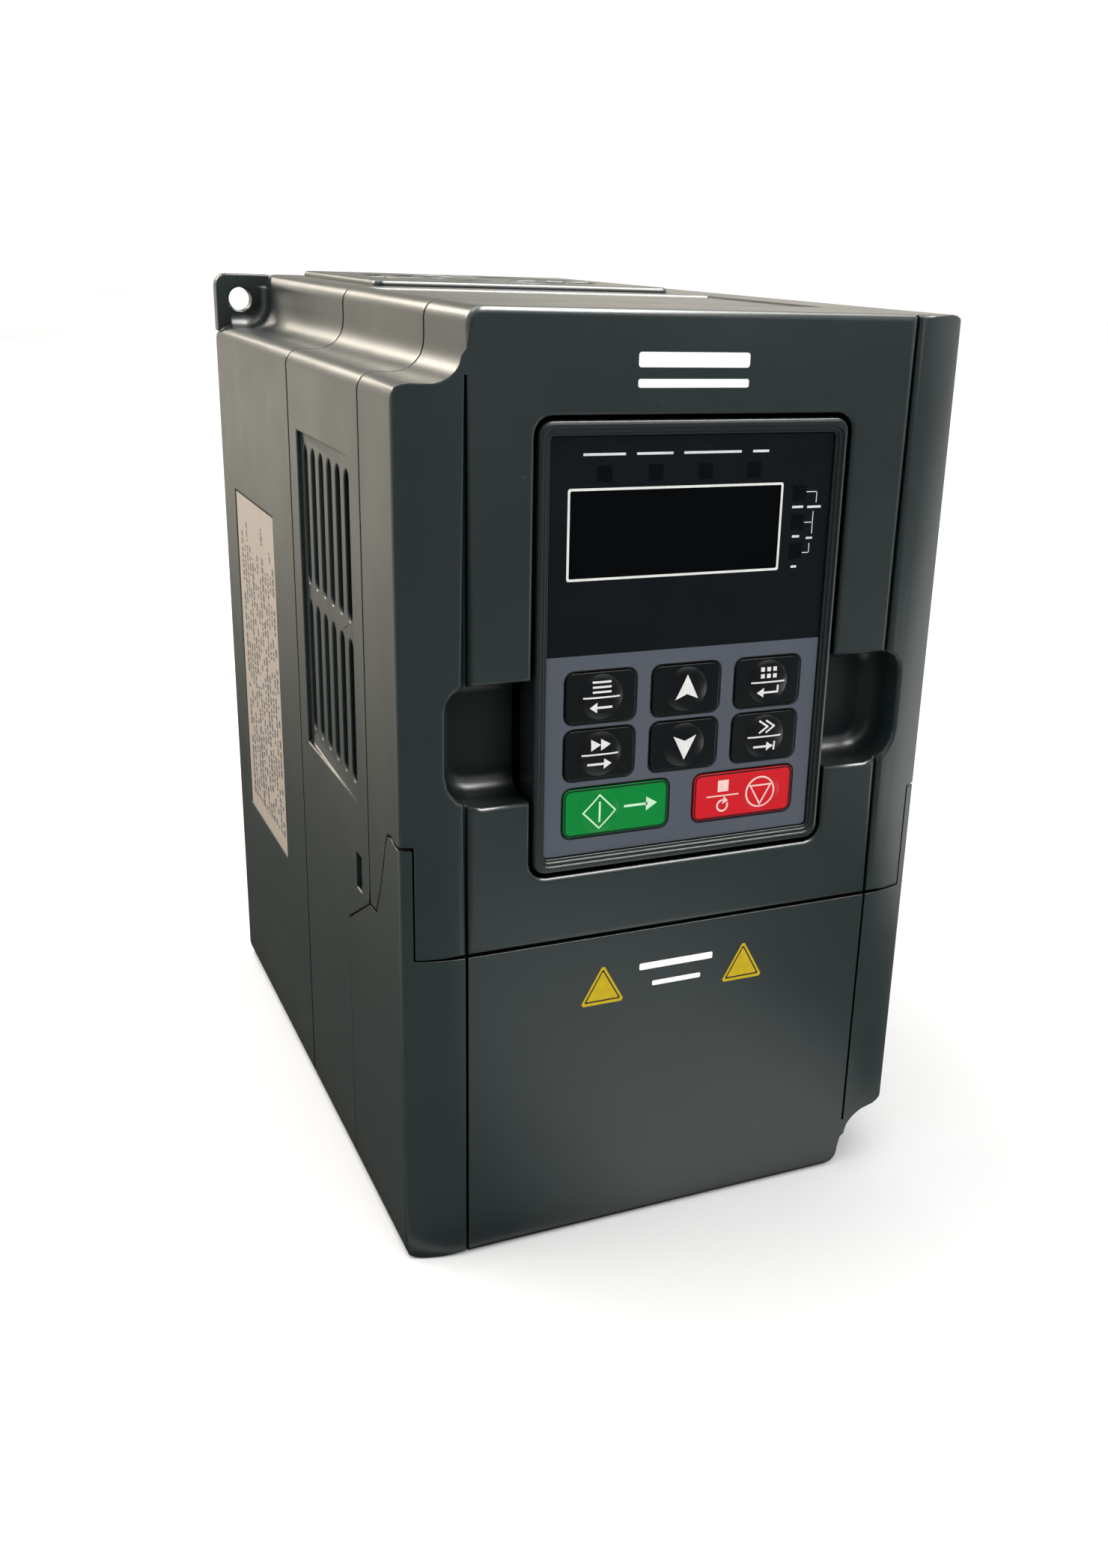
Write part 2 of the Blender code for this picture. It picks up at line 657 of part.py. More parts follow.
def make_rotor(mats):
    """Hub, shaft and twisted blades."""
    low = FAN_LOW_Z + 3.0
    high = FAN_HIGH_Z - 1.6
    bm = bmesh.new()
    profile = [(0, FAN_LOW_Z + 0.5), (1.4, FAN_LOW_Z + 0.5), (1.4, low), (12.4, low),
               (12.4, high - 1), (11.4, high), (0, high)]
    turned(bm, "z", 0, FAN_D, profile, 28)
    rotor = make("fan_rotor", bm, mats["black_plastic"])
    bm = bmesh.new()
    for k in range(FAN_BLADES):
        base = 2 * math.pi * k / FAN_BLADES
        rings = []
        for radius, span in ((11.6, 0.62), (19.0, 0.66), (26.6, 0.60)):
            ring = []
            for share, lift in ((0.0, 0.0), (0.5, 0.62), (1.0, 1.0)):
                angle = base + span * (share - 0.5)
                z = low + 1.0 + lift * (high - low - 2.6)
                ring.append((radius, angle, z, 0.45))
            rings.append(ring)
        add_blade(bm, rings)
    combine(rotor, "blades", bm, "UNION")
    set_origin(rotor, point(0, FAN_D, (low + high) / 2))
    return rotor


def add_blade(bm, rings):
    """One closed blade from rows of (radius, angle, z, half thickness)."""
    def corner(radius, angle, z, side):
        return bm.verts.new(point(radius * math.cos(angle), FAN_D + radius * math.sin(angle),
                                  z + side))
    top = [[corner(r, a, z, h) for r, a, z, h in ring] for ring in rings]
    bottom = [[corner(r, a, z, -h) for r, a, z, h in ring] for ring in rings]
    rows = len(rings)
    columns = len(rings[0])
    for i in range(rows - 1):
        for j in range(columns - 1):
            bm.faces.new((top[i][j], top[i + 1][j], top[i + 1][j + 1], top[i][j + 1]))
            bm.faces.new((bottom[i][j], bottom[i][j + 1], bottom[i + 1][j + 1], bottom[i + 1][j]))
    for i in range(rows - 1):
        bm.faces.new((top[i][0], bottom[i][0], bottom[i + 1][0], top[i + 1][0]))
        bm.faces.new((top[i][-1], top[i + 1][-1], bottom[i + 1][-1], bottom[i][-1]))
    for j in range(columns - 1):
        bm.faces.new((top[0][j], top[0][j + 1], bottom[0][j + 1], bottom[0][j]))
        bm.faces.new((top[-1][j], bottom[-1][j], bottom[-1][j + 1], top[-1][j + 1]))


def make_fan_cover(mats):
    """Lift-off lid over the fan, with a ring grille and two snap arms."""
    low = HEIGHT - 2.0
    high = HEIGHT + FAN_COVER_PROUD
    bm = bmesh.new()
    plate = rounded_rect(0, FAN_D - 0.2, 2 * FAN_COVER_HALF_X, 66.2, 2.0)
    cap = prism(bm, "z", plate, low, high)
    bevel_cap(bm, cap, 0.8, 2)
    cover = make("fan_cover", bm, mats["case"])
    bm = bmesh.new()
    for inner, outer, count in ((9.5, 14.5, 4), (16.5, 21.5, 4), (23.5, 28.5, 8)):
        for k in range(count):
            middle = 360 * (k + 0.5) / count
            spoke = math.degrees(1.1 / inner)
            sweep = 180 / count - spoke
            outline = arc(0, FAN_D, outer, middle - sweep, middle + sweep, 24 // count)
            outline += arc(0, FAN_D, inner, middle + sweep, middle - sweep, 24 // count)
            prism(bm, "z", outline, low - 2, high + 2)
    combine(cover, "grille", bm)
    bm = bmesh.new()
    for side in (-1, 1):
        arm = [(31.4, low + 0.5), (31.4, 172.0), (33.0, 171.0), (33.0, 178.4), (34.9, 180.2),
               (34.9, 181.2), (33.0, 181.6), (33.0, low + 0.5)]
        corners = [[bm.verts.new(point(side * x, d, z)) for x, z in arm]
                   for d in (FAN_D - 8, FAN_D + 8)]
        bm.faces.new(corners[0])
        bm.faces.new(corners[1])
        for i in range(len(arm)):
            j = (i + 1) % len(arm)
            bm.faces.new((corners[0][i], corners[0][j], corners[1][j], corners[1][i]))
    combine(cover, "arms", bm, "UNION")
    return cover


# ---------------------------------------------------------------- electronics

def make_power_stage(mats):
    """Power board with its module, capacitors, transformer, relay and choke."""
    front = POWER_BOARD_D
    back = POWER_BOARD_D + BOARD_THICK
    bm = bmesh.new()
    box(bm, (-48, 48), (front, back), (44, 166))
    make("power_board", bm, mats["board"])
    box_object("power_module", mats["black_plastic"],
               ((-31, 31), (back + GAP, SINK_D - GAP), (72, 110)))
    box_object("rectifier", mats["black_plastic"],
               ((-14, 14), (back + GAP, SINK_D - GAP), (48, 66)))
    bm = bmesh.new()
    for number, x in enumerate((-28, 2), start=1):
        bm = bmesh.new()
        profile = [(0, 38.0), (12.4, 38.0), (13.6, 39.2), (13.6, front - GAP), (0, front - GAP)]
        turned(bm, "d", x, 146, profile, 16)
        make(f"bus_capacitor_{number}", bm, mats["sleeve"])
    bm = bmesh.new()
    core = [(46, 138), (front - GAP, 138), (front - GAP, 162), (46, 162), (46, 157), (66, 157),
            (66, 143), (46, 143)]
    prism(bm, "x", core, 22, 46)
    make("transformer_core", bm, mats["ferrite"])
    box_object("transformer_coil", mats["tape"], ((24, 44), (48, 65.7), (143.3, 156.7)))
    box_object("soft_start_relay", mats["relay"], ((24, 44), (54, front - GAP), (100, 128)))
    bm = bmesh.new()
    ring = [(11 + 4.5 * math.cos(a), 62 + 4.5 * math.sin(a))
            for a in [2 * math.pi * i / 6 for i in range(6)]]
    turned(bm, "d", -28, 90, ring, 14)
    make("filter_choke", bm, mats["copper"])
    bm = bmesh.new()
    box(bm, (-8, 8), (DECK_D + DECK_THICK + 2, front - GAP), (80.5, 84.5))
    make("board_link_header", bm, mats["black_plastic"])


def make_control_stage(mats):
    """Control board with its chips, terminals and the socket for the keypad."""
    front = CONTROL_BOARD_D
    back = front + BOARD_THICK
    bm = bmesh.new()
    box(bm, (-46, 46), (front, back), (43, 166))
    board = make("control_board", bm, mats["board"])
    bm = bmesh.new()
    for x, z in CONTROL_BOARD_SCREWS:
        prism(bm, "d", circle(x, z, 1.9, 10), front - 2, back + 2)
    combine(board, "screw_holes", bm)
    screws("control_board_screw", mats["steel"], CONTROL_BOARD_SCREWS, front - 2.3, 3.0, 2.0,
           1.5, 4.0)
    for number, (x, z) in enumerate(CONTROL_BOARD_SCREWS, start=1):
        bm = bmesh.new()
        ring = [(1.9, back + GAP), (3.2, back + GAP), (3.2, DECK_D - GAP), (1.9, DECK_D - GAP)]
        turned(bm, "d", x, z, ring, 6)
        make(f"board_standoff_{number}", bm, mats["brass"])
    box_object("processor_chip", mats["black_plastic"],
               ((-34, -20), (front - 1.9, front - GAP), (74, 88)))
    box_object("keypad_socket", mats["black_plastic"], ((-9, 9), (13.6, front - GAP), (115, 133)))
    bm = bmesh.new()
    box(bm, (-7.4, 7.4), (12, 21.5), (117.6, 130.4))
    combine(bpy.data.objects["keypad_socket"], "cavity", bm)


def make_terminals(mats):
    """Power and control terminal blocks with their screws."""
    pitch = 9.4
    places = [-4 * pitch + i * pitch for i in range(9)]
    bm = bmesh.new()
    profile = [(32.0, 16.5), (49.6, 16.5), (49.6, 36.0), (40.0, 36.0), (40.0, 27.0), (32.0, 25.0)]
    prism(bm, "x", profile, -43.0, 43.0)
    block = make("power_terminal_block", bm, mats["terminal"])
    bm = bmesh.new()
    for x in places:
        box(bm, (x - 1.95, x + 1.95), (31, 37.5), (18.6, 22.5))
        prism(bm, "d", circle(x, 31.5, 3.6, 8), 38, 46)
    combine(block, "wire_and_screw_holes", bm)
    pitch = 5.08
    places = [-7.5 * pitch + i * pitch for i in range(16)]
    front = CONTROL_BOARD_D
    bm = bmesh.new()
    profile = [(16.5, 45.0), (front - GAP, 45.0), (front - GAP, 56.0), (18.5, 56.0), (16.5, 52.0)]
    prism(bm, "x", profile, -41.5, 41.5)
    block = make("control_terminal_block", bm, mats["terminal_green"])
    bm = bmesh.new()
    for x in places:
        box(bm, (x - 1.3, x + 1.3), (15, 20), (46.6, 49.4))
    combine(block, "wire_holes", bm)
    screws("earth_screw", mats["brass"], EARTH_SCREWS, 43.6, 3.2, 2.0, 1.6, 4.0)


# ---------------------------------------------------------------- keypad

def key_places():
    """Name, centre and width of every key."""
    x = KEY_PITCH_X
    top, middle, bottom = KEY_ROWS_Z
    return [("key_program", -x, top, KEY_W), ("key_up", 0.0, top, KEY_W),
            ("key_enter", x, top, KEY_W), ("key_jog", -x, middle, KEY_W),
            ("key_down", 0.0, middle, KEY_W), ("key_shift", x, middle, KEY_W),
            ("key_run", -WIDE_KEY_X, bottom, WIDE_KEY_W), ("key_stop", WIDE_KEY_X, bottom, WIDE_KEY_W)]


def dome_x(x):
    """Snap domes stand in three columns, also under the two wide keys."""
    if x == 0.0:
        return 0.0
    return math.copysign(KEY_PITCH_X, x)


def led_places():
    """Centres of the four status lights and the three unit lights."""
    status = [(-3.15 + (i - 1.5) * STATUS_LED_PITCH, STATUS_LED_Z) for i in range(4)]
    unit = [(UNIT_LED_X, z) for z in UNIT_LED_ROWS_Z]
    return status, unit


def keypad_holes(bm, key_gap, window_gap, led_gap, low, high):
    """Holes through a plate for the keys, display and lights."""
    for _name, x, z, width in key_places():
        if key_gap is None:
            prism(bm, "d", circle(dome_x(x), z, STEM_R + 0.5, 12), low, high)
        else:
            prism(bm, "d", rounded_rect(x, z, width + 2 * key_gap, KEY_H + 2 * key_gap,
                                        KEY_R + key_gap, 3), low, high)
    prism(bm, "d", rounded_rect(DISPLAY_X, DISPLAY_Z, DISPLAY_W + 2 * window_gap,
                                DISPLAY_H + 2 * window_gap, 0.5, 1), low, high)
    status, unit = led_places()
    half = LED_SIZE / 2 + led_gap
    for x, z in status + unit:
        box(bm, (x - half, x + half), (low, high), (z - half, z + half))


def make_keypad(mats):
    """Plug-in keypad: bezel, overlay, window, lights, keys, board, back shell and plug."""
    pieces = []
    bm = bmesh.new()
    cap = prism(bm, "d", rounded_rect(0, KEYPAD_Z, KEYPAD_W, KEYPAD_H, KEYPAD_R), 8.0, 0.1)
    bevel_cap(bm, cap, 0.7, 2)
    bezel = make("keypad_bezel", bm, mats["case"])
    for grow, floor_d in BEZEL_STEPS:
        bm = bmesh.new()
        prism(bm, "d", rounded_rect(0, KEYPAD_Z, OVERLAY_W + grow, OVERLAY_H + grow,
                                    0.8 + grow / 2, 3), -2, floor_d)
        combine(bezel, "step", bm)
    bm = bmesh.new()
    prism(bm, "d", rounded_rect(0, KEYPAD_Z, OVERLAY_W + 0.4, OVERLAY_H + 0.4, 0.9, 3), 0.5, 2.6)
    combine(bezel, "overlay_recess", bm)
    bm = bmesh.new()
    prism(bm, "d", rounded_rect(0, KEYPAD_Z, KEYPAD_W - 3.2, KEYPAD_H - 3.2, 1.2), 4.0, 10.0)
    combine(bezel, "back_recess", bm)
    bm = bmesh.new()
    keypad_holes(bm, None, 0.0, 0.2, 2, 5)
    combine(bezel, "plate_holes", bm)
    pieces.append(bezel)
    bm = bmesh.new()
    prism(bm, "d", rounded_rect(0, KEYPAD_Z, OVERLAY_W, OVERLAY_H, 0.7, 3), OVERLAY_D, 2.3)
    overlay = make("keypad_overlay", bm, mats["overlay"])
    bm = bmesh.new()
    keypad_holes(bm, 0.3, 0.3, 0.3, 1, 3)
    combine(overlay, "holes", bm)
    pieces.append(overlay)
    bm = bmesh.new()
    prism(bm, "d", rounded_rect(DISPLAY_X, DISPLAY_Z, DISPLAY_W, DISPLAY_H, 0.5, 1),
          OVERLAY_D + 0.05, 2.3)
    pieces.append(make("display_window", bm, mats["window"]))
    status, unit = led_places()
    half = LED_SIZE / 2
    for name, places in (("status_light_guide", status), ("unit_light_guide", unit)):
        bm = bmesh.new()
        xs = [x for x, _z in places]
        zs = [z for _x, z in places]
        box(bm, (min(xs) - half, max(xs) + half), (4.3, 5.4), (min(zs) - half, max(zs) + half))
        guide = make(name, bm, mats["lamp"])
        bm = bmesh.new()
        for x, z in places:
            box(bm, (x - half + 0.02, x + half - 0.02), (OVERLAY_D + 0.1, 4.6),
                (z - half + 0.02, z + half - 0.02))
        combine(guide, "lenses", bm, "UNION")
        pieces.append(guide)
    pieces.append(box_object("display_module", mats["black_plastic"],
                             ((-23.5, 16.7), (2.8, 5.7), (139.2, 153.2))))
    pieces.append(box_object("keypad_board", mats["board"], ((-28, 28), (6.0, 7.2), (85.2, 163))))
    bm = bmesh.new()
    box(bm, (-26, 26), (5.55, 5.7), (86, 122))
    sheet = make("dome_sheet", bm, mats["steel"])
    bm = bmesh.new()
    for _name, x, z, _width in key_places():
        turned(bm, "d", dome_x(x), z, [(0, 5.25), (3.8, 5.6), (0, 5.65)], 8)
    combine(sheet, "domes", bm, "UNION")
    pieces.append(sheet)
    bm = bmesh.new()
    prism(bm, "d", rounded_rect(0, KEYPAD_Z, KEYPAD_W - 4.0, KEYPAD_H - 4.0, 1.0), 7.6, 12.2)
    back = make("keypad_back", bm, mats["case"])
    bm = bmesh.new()
    prism(bm, "d", rounded_rect(0, KEYPAD_Z, KEYPAD_W - 7.0, KEYPAD_H - 7.0, 1.0), 7, 10.6)
    combine(back, "hollow", bm)
    bm = bmesh.new()
    box(bm, (-7.4, 7.4), (10, 13), (117.6, 130.4))
    combine(back, "plug_hole", bm)
    pieces.append(back)
    bm = bmesh.new()
    box(bm, (-7, 7), (7.6, 20.5), (118, 130))
    pieces.append(make("keypad_plug", bm, mats["clear_plastic"]))
    for name, x, z, width in key_places():
        pieces.append(make_key(name, x, z, width, mats))
    attach(pieces, "keypad_joint", point(0, 0, KEYPAD_Z))


def make_key(name, x, z, width, mats):
    """A key: a thin cap with a soft dome on it and a stem behind that reaches its snap dome."""
    front = OVERLAY_D - KEY_PROUD
    rear = front + KEY_THICK
    slot = {"key_run": "key_green", "key_stop": "key_red"}.get(name, "key_black")
    bm = bmesh.new()
    cap = prism(bm, "d", rounded_rect(x, z, width, KEY_H, KEY_R, 3), rear, front)
    bevel_cap(bm, cap, 0.15, 1)
    key = make(name, bm, mats[slot])
    bm = bmesh.new()
    centre = dome_x(x)
    profile = [(0, front - 0.35), (2.4, front - 0.25), (4.0, front + 0.02), (4.0, front + 0.3),
               (0, front + 0.3)]
    turned(bm, "d", centre, z, profile, 16)
    combine(key, "dome", bm, "UNION")
    bm = bmesh.new()
    prism(bm, "d", circle(centre, z, STEM_R, 8), rear - 0.3, 4.7)
    combine(key, "stem", bm, "UNION")
    set_origin(key, point(x, front, z))
    return key


# ---------------------------------------------------------------- build

def make_materials():
    """One plain material for each finish."""
    return {
        "case": material("case", (0.028, 0.041, 0.042), 0.42),
        "aluminium": material("aluminium", (0.62, 0.63, 0.64), 0.38, 1.0),
        "black_plastic": material("black_plastic", (0.012, 0.012, 0.013), 0.5),
        "steel": material("steel", (0.58, 0.58, 0.57), 0.35, 1.0),
        "brass": material("brass", (0.72, 0.53, 0.24), 0.35, 1.0),
        "copper": material("copper", (0.72, 0.34, 0.18), 0.4, 1.0),
        "board": material("board", (0.02, 0.13, 0.06), 0.45),
        "sleeve": material("sleeve", (0.03, 0.035, 0.05), 0.4),
        "ferrite": material("ferrite", (0.05, 0.05, 0.052), 0.6),
        "tape": material("tape", (0.72, 0.55, 0.12), 0.45),
        "relay": material("relay", (0.05, 0.12, 0.36), 0.4),
        "terminal": material("terminal", (0.02, 0.02, 0.021), 0.5),
        "terminal_green": material("terminal_green", (0.04, 0.30, 0.12), 0.45),
        "overlay": material("overlay", (0.012, 0.016, 0.022), 0.35),
        "window": material("window", (0.006, 0.006, 0.007), 0.12),
        "lamp": material("lamp", (0.02, 0.02, 0.02), 0.3),
        "clear_plastic": material("clear_plastic", (0.6, 0.6, 0.58), 0.25),
        "key_black": material("key_black", (0.010, 0.012, 0.016), 0.32),
        "key_green": material("key_green", (0.0, 0.26, 0.06), 0.32),
        "key_red": material("key_red", (0.62, 0.012, 0.022), 0.32),
        "label": material("label", (0.62, 0.55, 0.50), 0.5),
    }


def main():
    """Builds the whole drive."""
    for obj in list(bpy.data.objects):
        bpy.data.objects.remove(obj, do_unlink=True)
    mats = make_materials()
    make_rear_housing(mats)
    make_middle_housing(mats)
    make_front_cover(mats)
    cover = make_terminal_cover(mats)
    attach([cover], "terminal_cover_joint", point(0, 0, COVER_SPLIT_Z / 2))
    make_heatsink(mats)
    screws("heatsink_screw", mats["steel"], SINK_SCREWS, FLANGE_D - 2.5, 3.1, 2.2, 1.5, 6.0)
    frame, bearing, rotor = make_fan(mats)
    fan_cover = make_fan_cover(mats)
    attach([frame, bearing, fan_cover, rotor], "fan_module_joint", point(0, FAN_D, HEIGHT))
    make_power_stage(mats)
    make_control_stage(mats)
    make_terminals(mats)
    make_keypad(mats)
    side = -WIDTH / 2 + 0.6
    box_object("nameplate", mats["label"], ((side - 0.35, side - 0.1), (100.4, 142.6), (51.2, 133.8)))
    bpy.context.view_layer.update()


main()
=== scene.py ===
import json
import math
import random

import bmesh
import bpy
from mathutils import Matrix, Vector

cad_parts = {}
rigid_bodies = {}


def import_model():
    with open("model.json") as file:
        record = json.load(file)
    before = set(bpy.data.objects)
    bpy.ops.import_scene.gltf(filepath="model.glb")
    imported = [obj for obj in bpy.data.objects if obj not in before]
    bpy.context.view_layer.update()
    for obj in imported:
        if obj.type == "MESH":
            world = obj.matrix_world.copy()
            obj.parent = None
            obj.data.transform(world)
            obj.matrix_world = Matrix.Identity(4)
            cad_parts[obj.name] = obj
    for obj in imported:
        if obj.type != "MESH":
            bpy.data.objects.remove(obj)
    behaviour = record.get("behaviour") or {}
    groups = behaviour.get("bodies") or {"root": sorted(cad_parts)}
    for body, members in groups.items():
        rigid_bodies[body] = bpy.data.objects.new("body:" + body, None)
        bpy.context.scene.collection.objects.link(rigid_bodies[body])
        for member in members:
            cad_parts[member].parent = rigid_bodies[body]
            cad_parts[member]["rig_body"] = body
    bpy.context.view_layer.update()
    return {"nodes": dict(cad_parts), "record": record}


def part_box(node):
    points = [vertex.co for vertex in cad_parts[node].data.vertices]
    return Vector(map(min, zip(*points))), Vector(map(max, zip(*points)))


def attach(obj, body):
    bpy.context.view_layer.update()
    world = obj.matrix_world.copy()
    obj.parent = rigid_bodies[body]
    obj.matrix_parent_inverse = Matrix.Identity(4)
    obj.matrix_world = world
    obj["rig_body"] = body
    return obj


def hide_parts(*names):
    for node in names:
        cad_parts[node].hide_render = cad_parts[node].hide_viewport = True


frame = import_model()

nodes = frame["nodes"]
scene = bpy.context.scene

# Millimetres: x to the right, d back from the front panel, z up from the bottom edge
DEPTH = 157.0
WIDTH = 113.4
HEIGHT = 185.0
OVERLAY_D = 1.3
SPLIT_PRINT_Z = 124.0
# Keys: x and z of the middle, and the width
KEY_PITCH = 17.8
KEYS = {
    "key_program": (-KEY_PITCH, 115.9, 14.1), "key_up": (0.0, 115.9, 14.1),
    "key_enter": (KEY_PITCH, 115.9, 14.1), "key_jog": (-KEY_PITCH, 104.7, 14.1),
    "key_down": (0.0, 104.7, 14.1), "key_shift": (KEY_PITCH, 104.7, 14.1),
    "key_run": (-13.9, 93.1, 22.0), "key_stop": (13.9, 93.1, 22.0),
}
KEY_H = 9.6
KEY_R = 1.5
KEY_FRONT_D = 1.15
# Soft domes on the keys
DOME_R = 4.4
DOME_HIGH = 0.42
# How far the painted shade in recesses reaches into the plastic, in metres
RECESS_REACH = 0.016
# Rounded rims of the keypad pocket and the finger hollows, and where they lie
RIM_R = 0.8
RIM_HALF_X = 49.5
RIM_LOW_Z = 79.0
RIM_HIGH_Z = 169.0
# Chamfers along the seams of the shells, coloured near black as painted shadow in the gaps
SEAM_R = 0.45
# Shoulders outside the two long grooves: the plain slope, and the swell laid over it
GROOVE_X = 44.6
SHOULDER_FALL = 1.2 / 9.3
SIDE_EDGE_R = 2.8
CROWN_RISE = 0.105
CROWN_FALL = 0.019
CROWN_CUTS = (1.6, 3.2, 4.8, 6.4, 8.0)
CROWN_EDGE_R = 1.2
CROWN_SHARE = 1 / 3
# The grooves themselves: depth, half width as cut, and the finer half width shown
GROOVE_DEEP = 1.2
GROOVE_HALF = 0.5
GROOVE_HALF_FINE = 0.29
# Status and unit lights behind the overlay
LAMPS = ([(-3.15 + (i - 1.5) * 10.1, 157.0) for i in range(4)]
         + [(22.1, z) for z in (152.4, 146.9, 141.4)])
# Nameplate print
LABEL_X = -56.47
LABEL_LOW_Z = 55.0
LABEL_HIGH_Z = 129.5
LABEL_ROWS = 13
LABEL_ROW_PITCH = 2.85
LABEL_FIRST_D = 103.6
# Terminal rows
POWER_COUNT = 9
POWER_PITCH = 9.4
POWER_SCREW_Z = 31.5
CONTROL_COUNT = 16
CONTROL_PITCH = 5.08
CONTROL_SCREW_Z = 50.9
SEAM_D = {"middle_housing": 23.75, "rear_housing": 79.55}


def point(x, d, z):
    """A place in the model's frame, in metres."""
    return Vector((x, d - DEPTH / 2, z)) * 0.001


# ---------------------------------------------------------------- materials

def shader_tree(name):
    """A new material with its tree, Principled shader and object coordinates."""
    mat = bpy.data.materials.new(name)
    mat.use_nodes = True
    tree = mat.node_tree
    shader = tree.nodes["Principled BSDF"]
    coords = tree.nodes.new("ShaderNodeTexCoord")
    return mat, tree, shader, coords.outputs["Object"]


def noise(tree, coords, scale, detail=3.0, stretch=None, rough=0.5):
    """A noise pattern, stretched along an axis if asked."""
    if stretch:
        mapping = tree.nodes.new("ShaderNodeMapping")
        mapping.inputs["Scale"].default_value = stretch
        tree.links.new(coords, mapping.inputs["Vector"])
        coords = mapping.outputs["Vector"]
    node = tree.nodes.new("ShaderNodeTexNoise")
    node.inputs["Scale"].default_value = scale
    node.inputs["Detail"].default_value = detail
    node.inputs["Roughness"].default_value = rough
    tree.links.new(coords, node.inputs["Vector"])
    return node.outputs["Fac"]


def ramp(tree, value, low, high, to_low=0.0, to_high=1.0):
    """Maps a value from one span to another, held at the ends."""
    node = tree.nodes.new("ShaderNodeMapRange")
    node.inputs["From Min"].default_value = low
    node.inputs["From Max"].default_value = high
    node.inputs["To Min"].default_value = to_low
    node.inputs["To Max"].default_value = to_high
    tree.links.new(value, node.inputs["Value"])
    return node.outputs["Result"]


def mix(tree, share, first, second):
    """Mixes two colours; each is a socket or a colour."""
    node = tree.nodes.new("ShaderNodeMix")
    node.data_type = "RGBA"
    if isinstance(share, float):
        node.inputs["Factor"].default_value = share
    else:
        tree.links.new(share, node.inputs["Factor"])
    for socket, value in (("A", first), ("B", second)):
        target = [s for s in node.inputs if s.name == socket and s.type == "RGBA"][0]
        if isinstance(value, bpy.types.NodeSocket):
            tree.links.new(value, target)
        else:
            target.default_value = (*value, 1.0)
    return [s for s in node.outputs if s.type == "RGBA"][0]


def maths(tree, operation, first, second=None):
    """One maths node; each input is a socket or a number."""
    node = tree.nodes.new("ShaderNodeMath")
    node.operation = operation
    for i, value in enumerate((first, second)):
        if value is None:
            continue
        if isinstance(value, bpy.types.NodeSocket):
            tree.links.new(value, node.inputs[i])
        else:
            node.inputs[i].default_value = value
    return node.outputs["Value"]


def bump(tree, shader, height, distance, edge=0.0):
    """Feeds a height pattern to the shader's normal, over softened edges; lengths in metres."""
    node = tree.nodes.new("ShaderNodeBump")
    node.inputs["Distance"].default_value = distance
    tree.links.new(height, node.inputs["Height"])
    if edge:
        soft = tree.nodes.new("ShaderNodeBevel")
        soft.samples = 6
        soft.inputs["Radius"].default_value = edge
        tree.links.new(soft.outputs["Normal"], node.inputs["Normal"])
    tree.links.new(node.outputs["Normal"], shader.inputs["Normal"])


def moulded(name, color, roughness, vary=0.12, grain=6e-6, grain_scale=2600.0, dust=0.0,
            edge=0.0, shade=0.0, gloss_level=0.5):
    """Moulded plastic: fine spark-eroded grain, faint flow marks, uneven gloss and dust; with shade
    given, painted shade darkens its colour in recesses.
    """
    mat, tree, shader, coords = shader_tree(name)
    broad = noise(tree, coords, 22.0, 4.0)
    low = tuple(c * (1 - vary) for c in color)
    high = tuple(c * (1 + vary) for c in color)
    base = mix(tree, ramp(tree, broad, 0.3, 0.7), low, high)
    if dust:
        specks = noise(tree, coords, 900.0, 2.0)
        base = mix(tree, ramp(tree, specks, 0.71, 0.8, 0.0, dust), base, (0.35, 0.34, 0.31))
    # Painted shade: where ambient occlusion finds the plastic closed in, its colour darkens toward
    # the shade factor
    if shade:
        recess = tree.nodes.new("ShaderNodeAmbientOcclusion")
        recess.samples = 6
        recess.inputs["Distance"].default_value = RECESS_REACH
        painted_recess_shade = tuple(c * (1 - shade) for c in color)
        base = mix(tree, ramp(tree, recess.outputs["AO"], 0.30, 0.85), painted_recess_shade, base)
    tree.links.new(base, shader.inputs["Base Color"])
    shader.inputs["Specular IOR Level"].default_value = gloss_level
    patches = noise(tree, coords, 60.0, 5.0)
    gloss = ramp(tree, patches, 0.3, 0.7, roughness - 0.035, roughness + 0.035)
    tree.links.new(gloss, shader.inputs["Roughness"])
    bump(tree, shader, noise(tree, coords, grain_scale, 1.0), grain, edge)
    return mat


def metal(name, color, roughness, stretch=(1.0, 1.0, 1.0), scale=900.0, depth=3e-6, vary=0.1):
    """Metal with fine lines or grain and uneven gloss."""
    mat, tree, shader, coords = shader_tree(name)
    lines = noise(tree, coords, scale, 3.0, stretch)
    low = tuple(c * (1 - vary) for c in color)
    tree.links.new(mix(tree, ramp(tree, lines, 0.3, 0.7), low, color), shader.inputs["Base Color"])
    gloss = ramp(tree, noise(tree, coords, 80.0, 4.0), 0.3, 0.7, roughness - 0.06, roughness + 0.06)
    tree.links.new(gloss, shader.inputs["Roughness"])
    shader.inputs["Metallic"].default_value = 1.0
    bump(tree, shader, lines, depth)
    return mat


def printed(name, color, roughness=0.4, gloss_level=0.3):
    """Screen-printed ink, with a slightly uneven edge to its tone."""
    mat, tree, shader, coords = shader_tree(name)
    tone = noise(tree, coords, 700.0, 3.0)
    low = tuple(c * 0.86 for c in color)
    tree.links.new(mix(tree, ramp(tree, tone, 0.3, 0.7), low, color), shader.inputs["Base Color"])
    fine = noise(tree, coords, 1400.0, 2.0)
    gloss = ramp(tree, fine, 0.3, 0.7, roughness - 0.05, roughness + 0.05)
    tree.links.new(gloss, shader.inputs["Roughness"])
    shader.inputs["Specular IOR Level"].default_value = gloss_level
    bump(tree, shader, tone, 2e-6)
    return mat


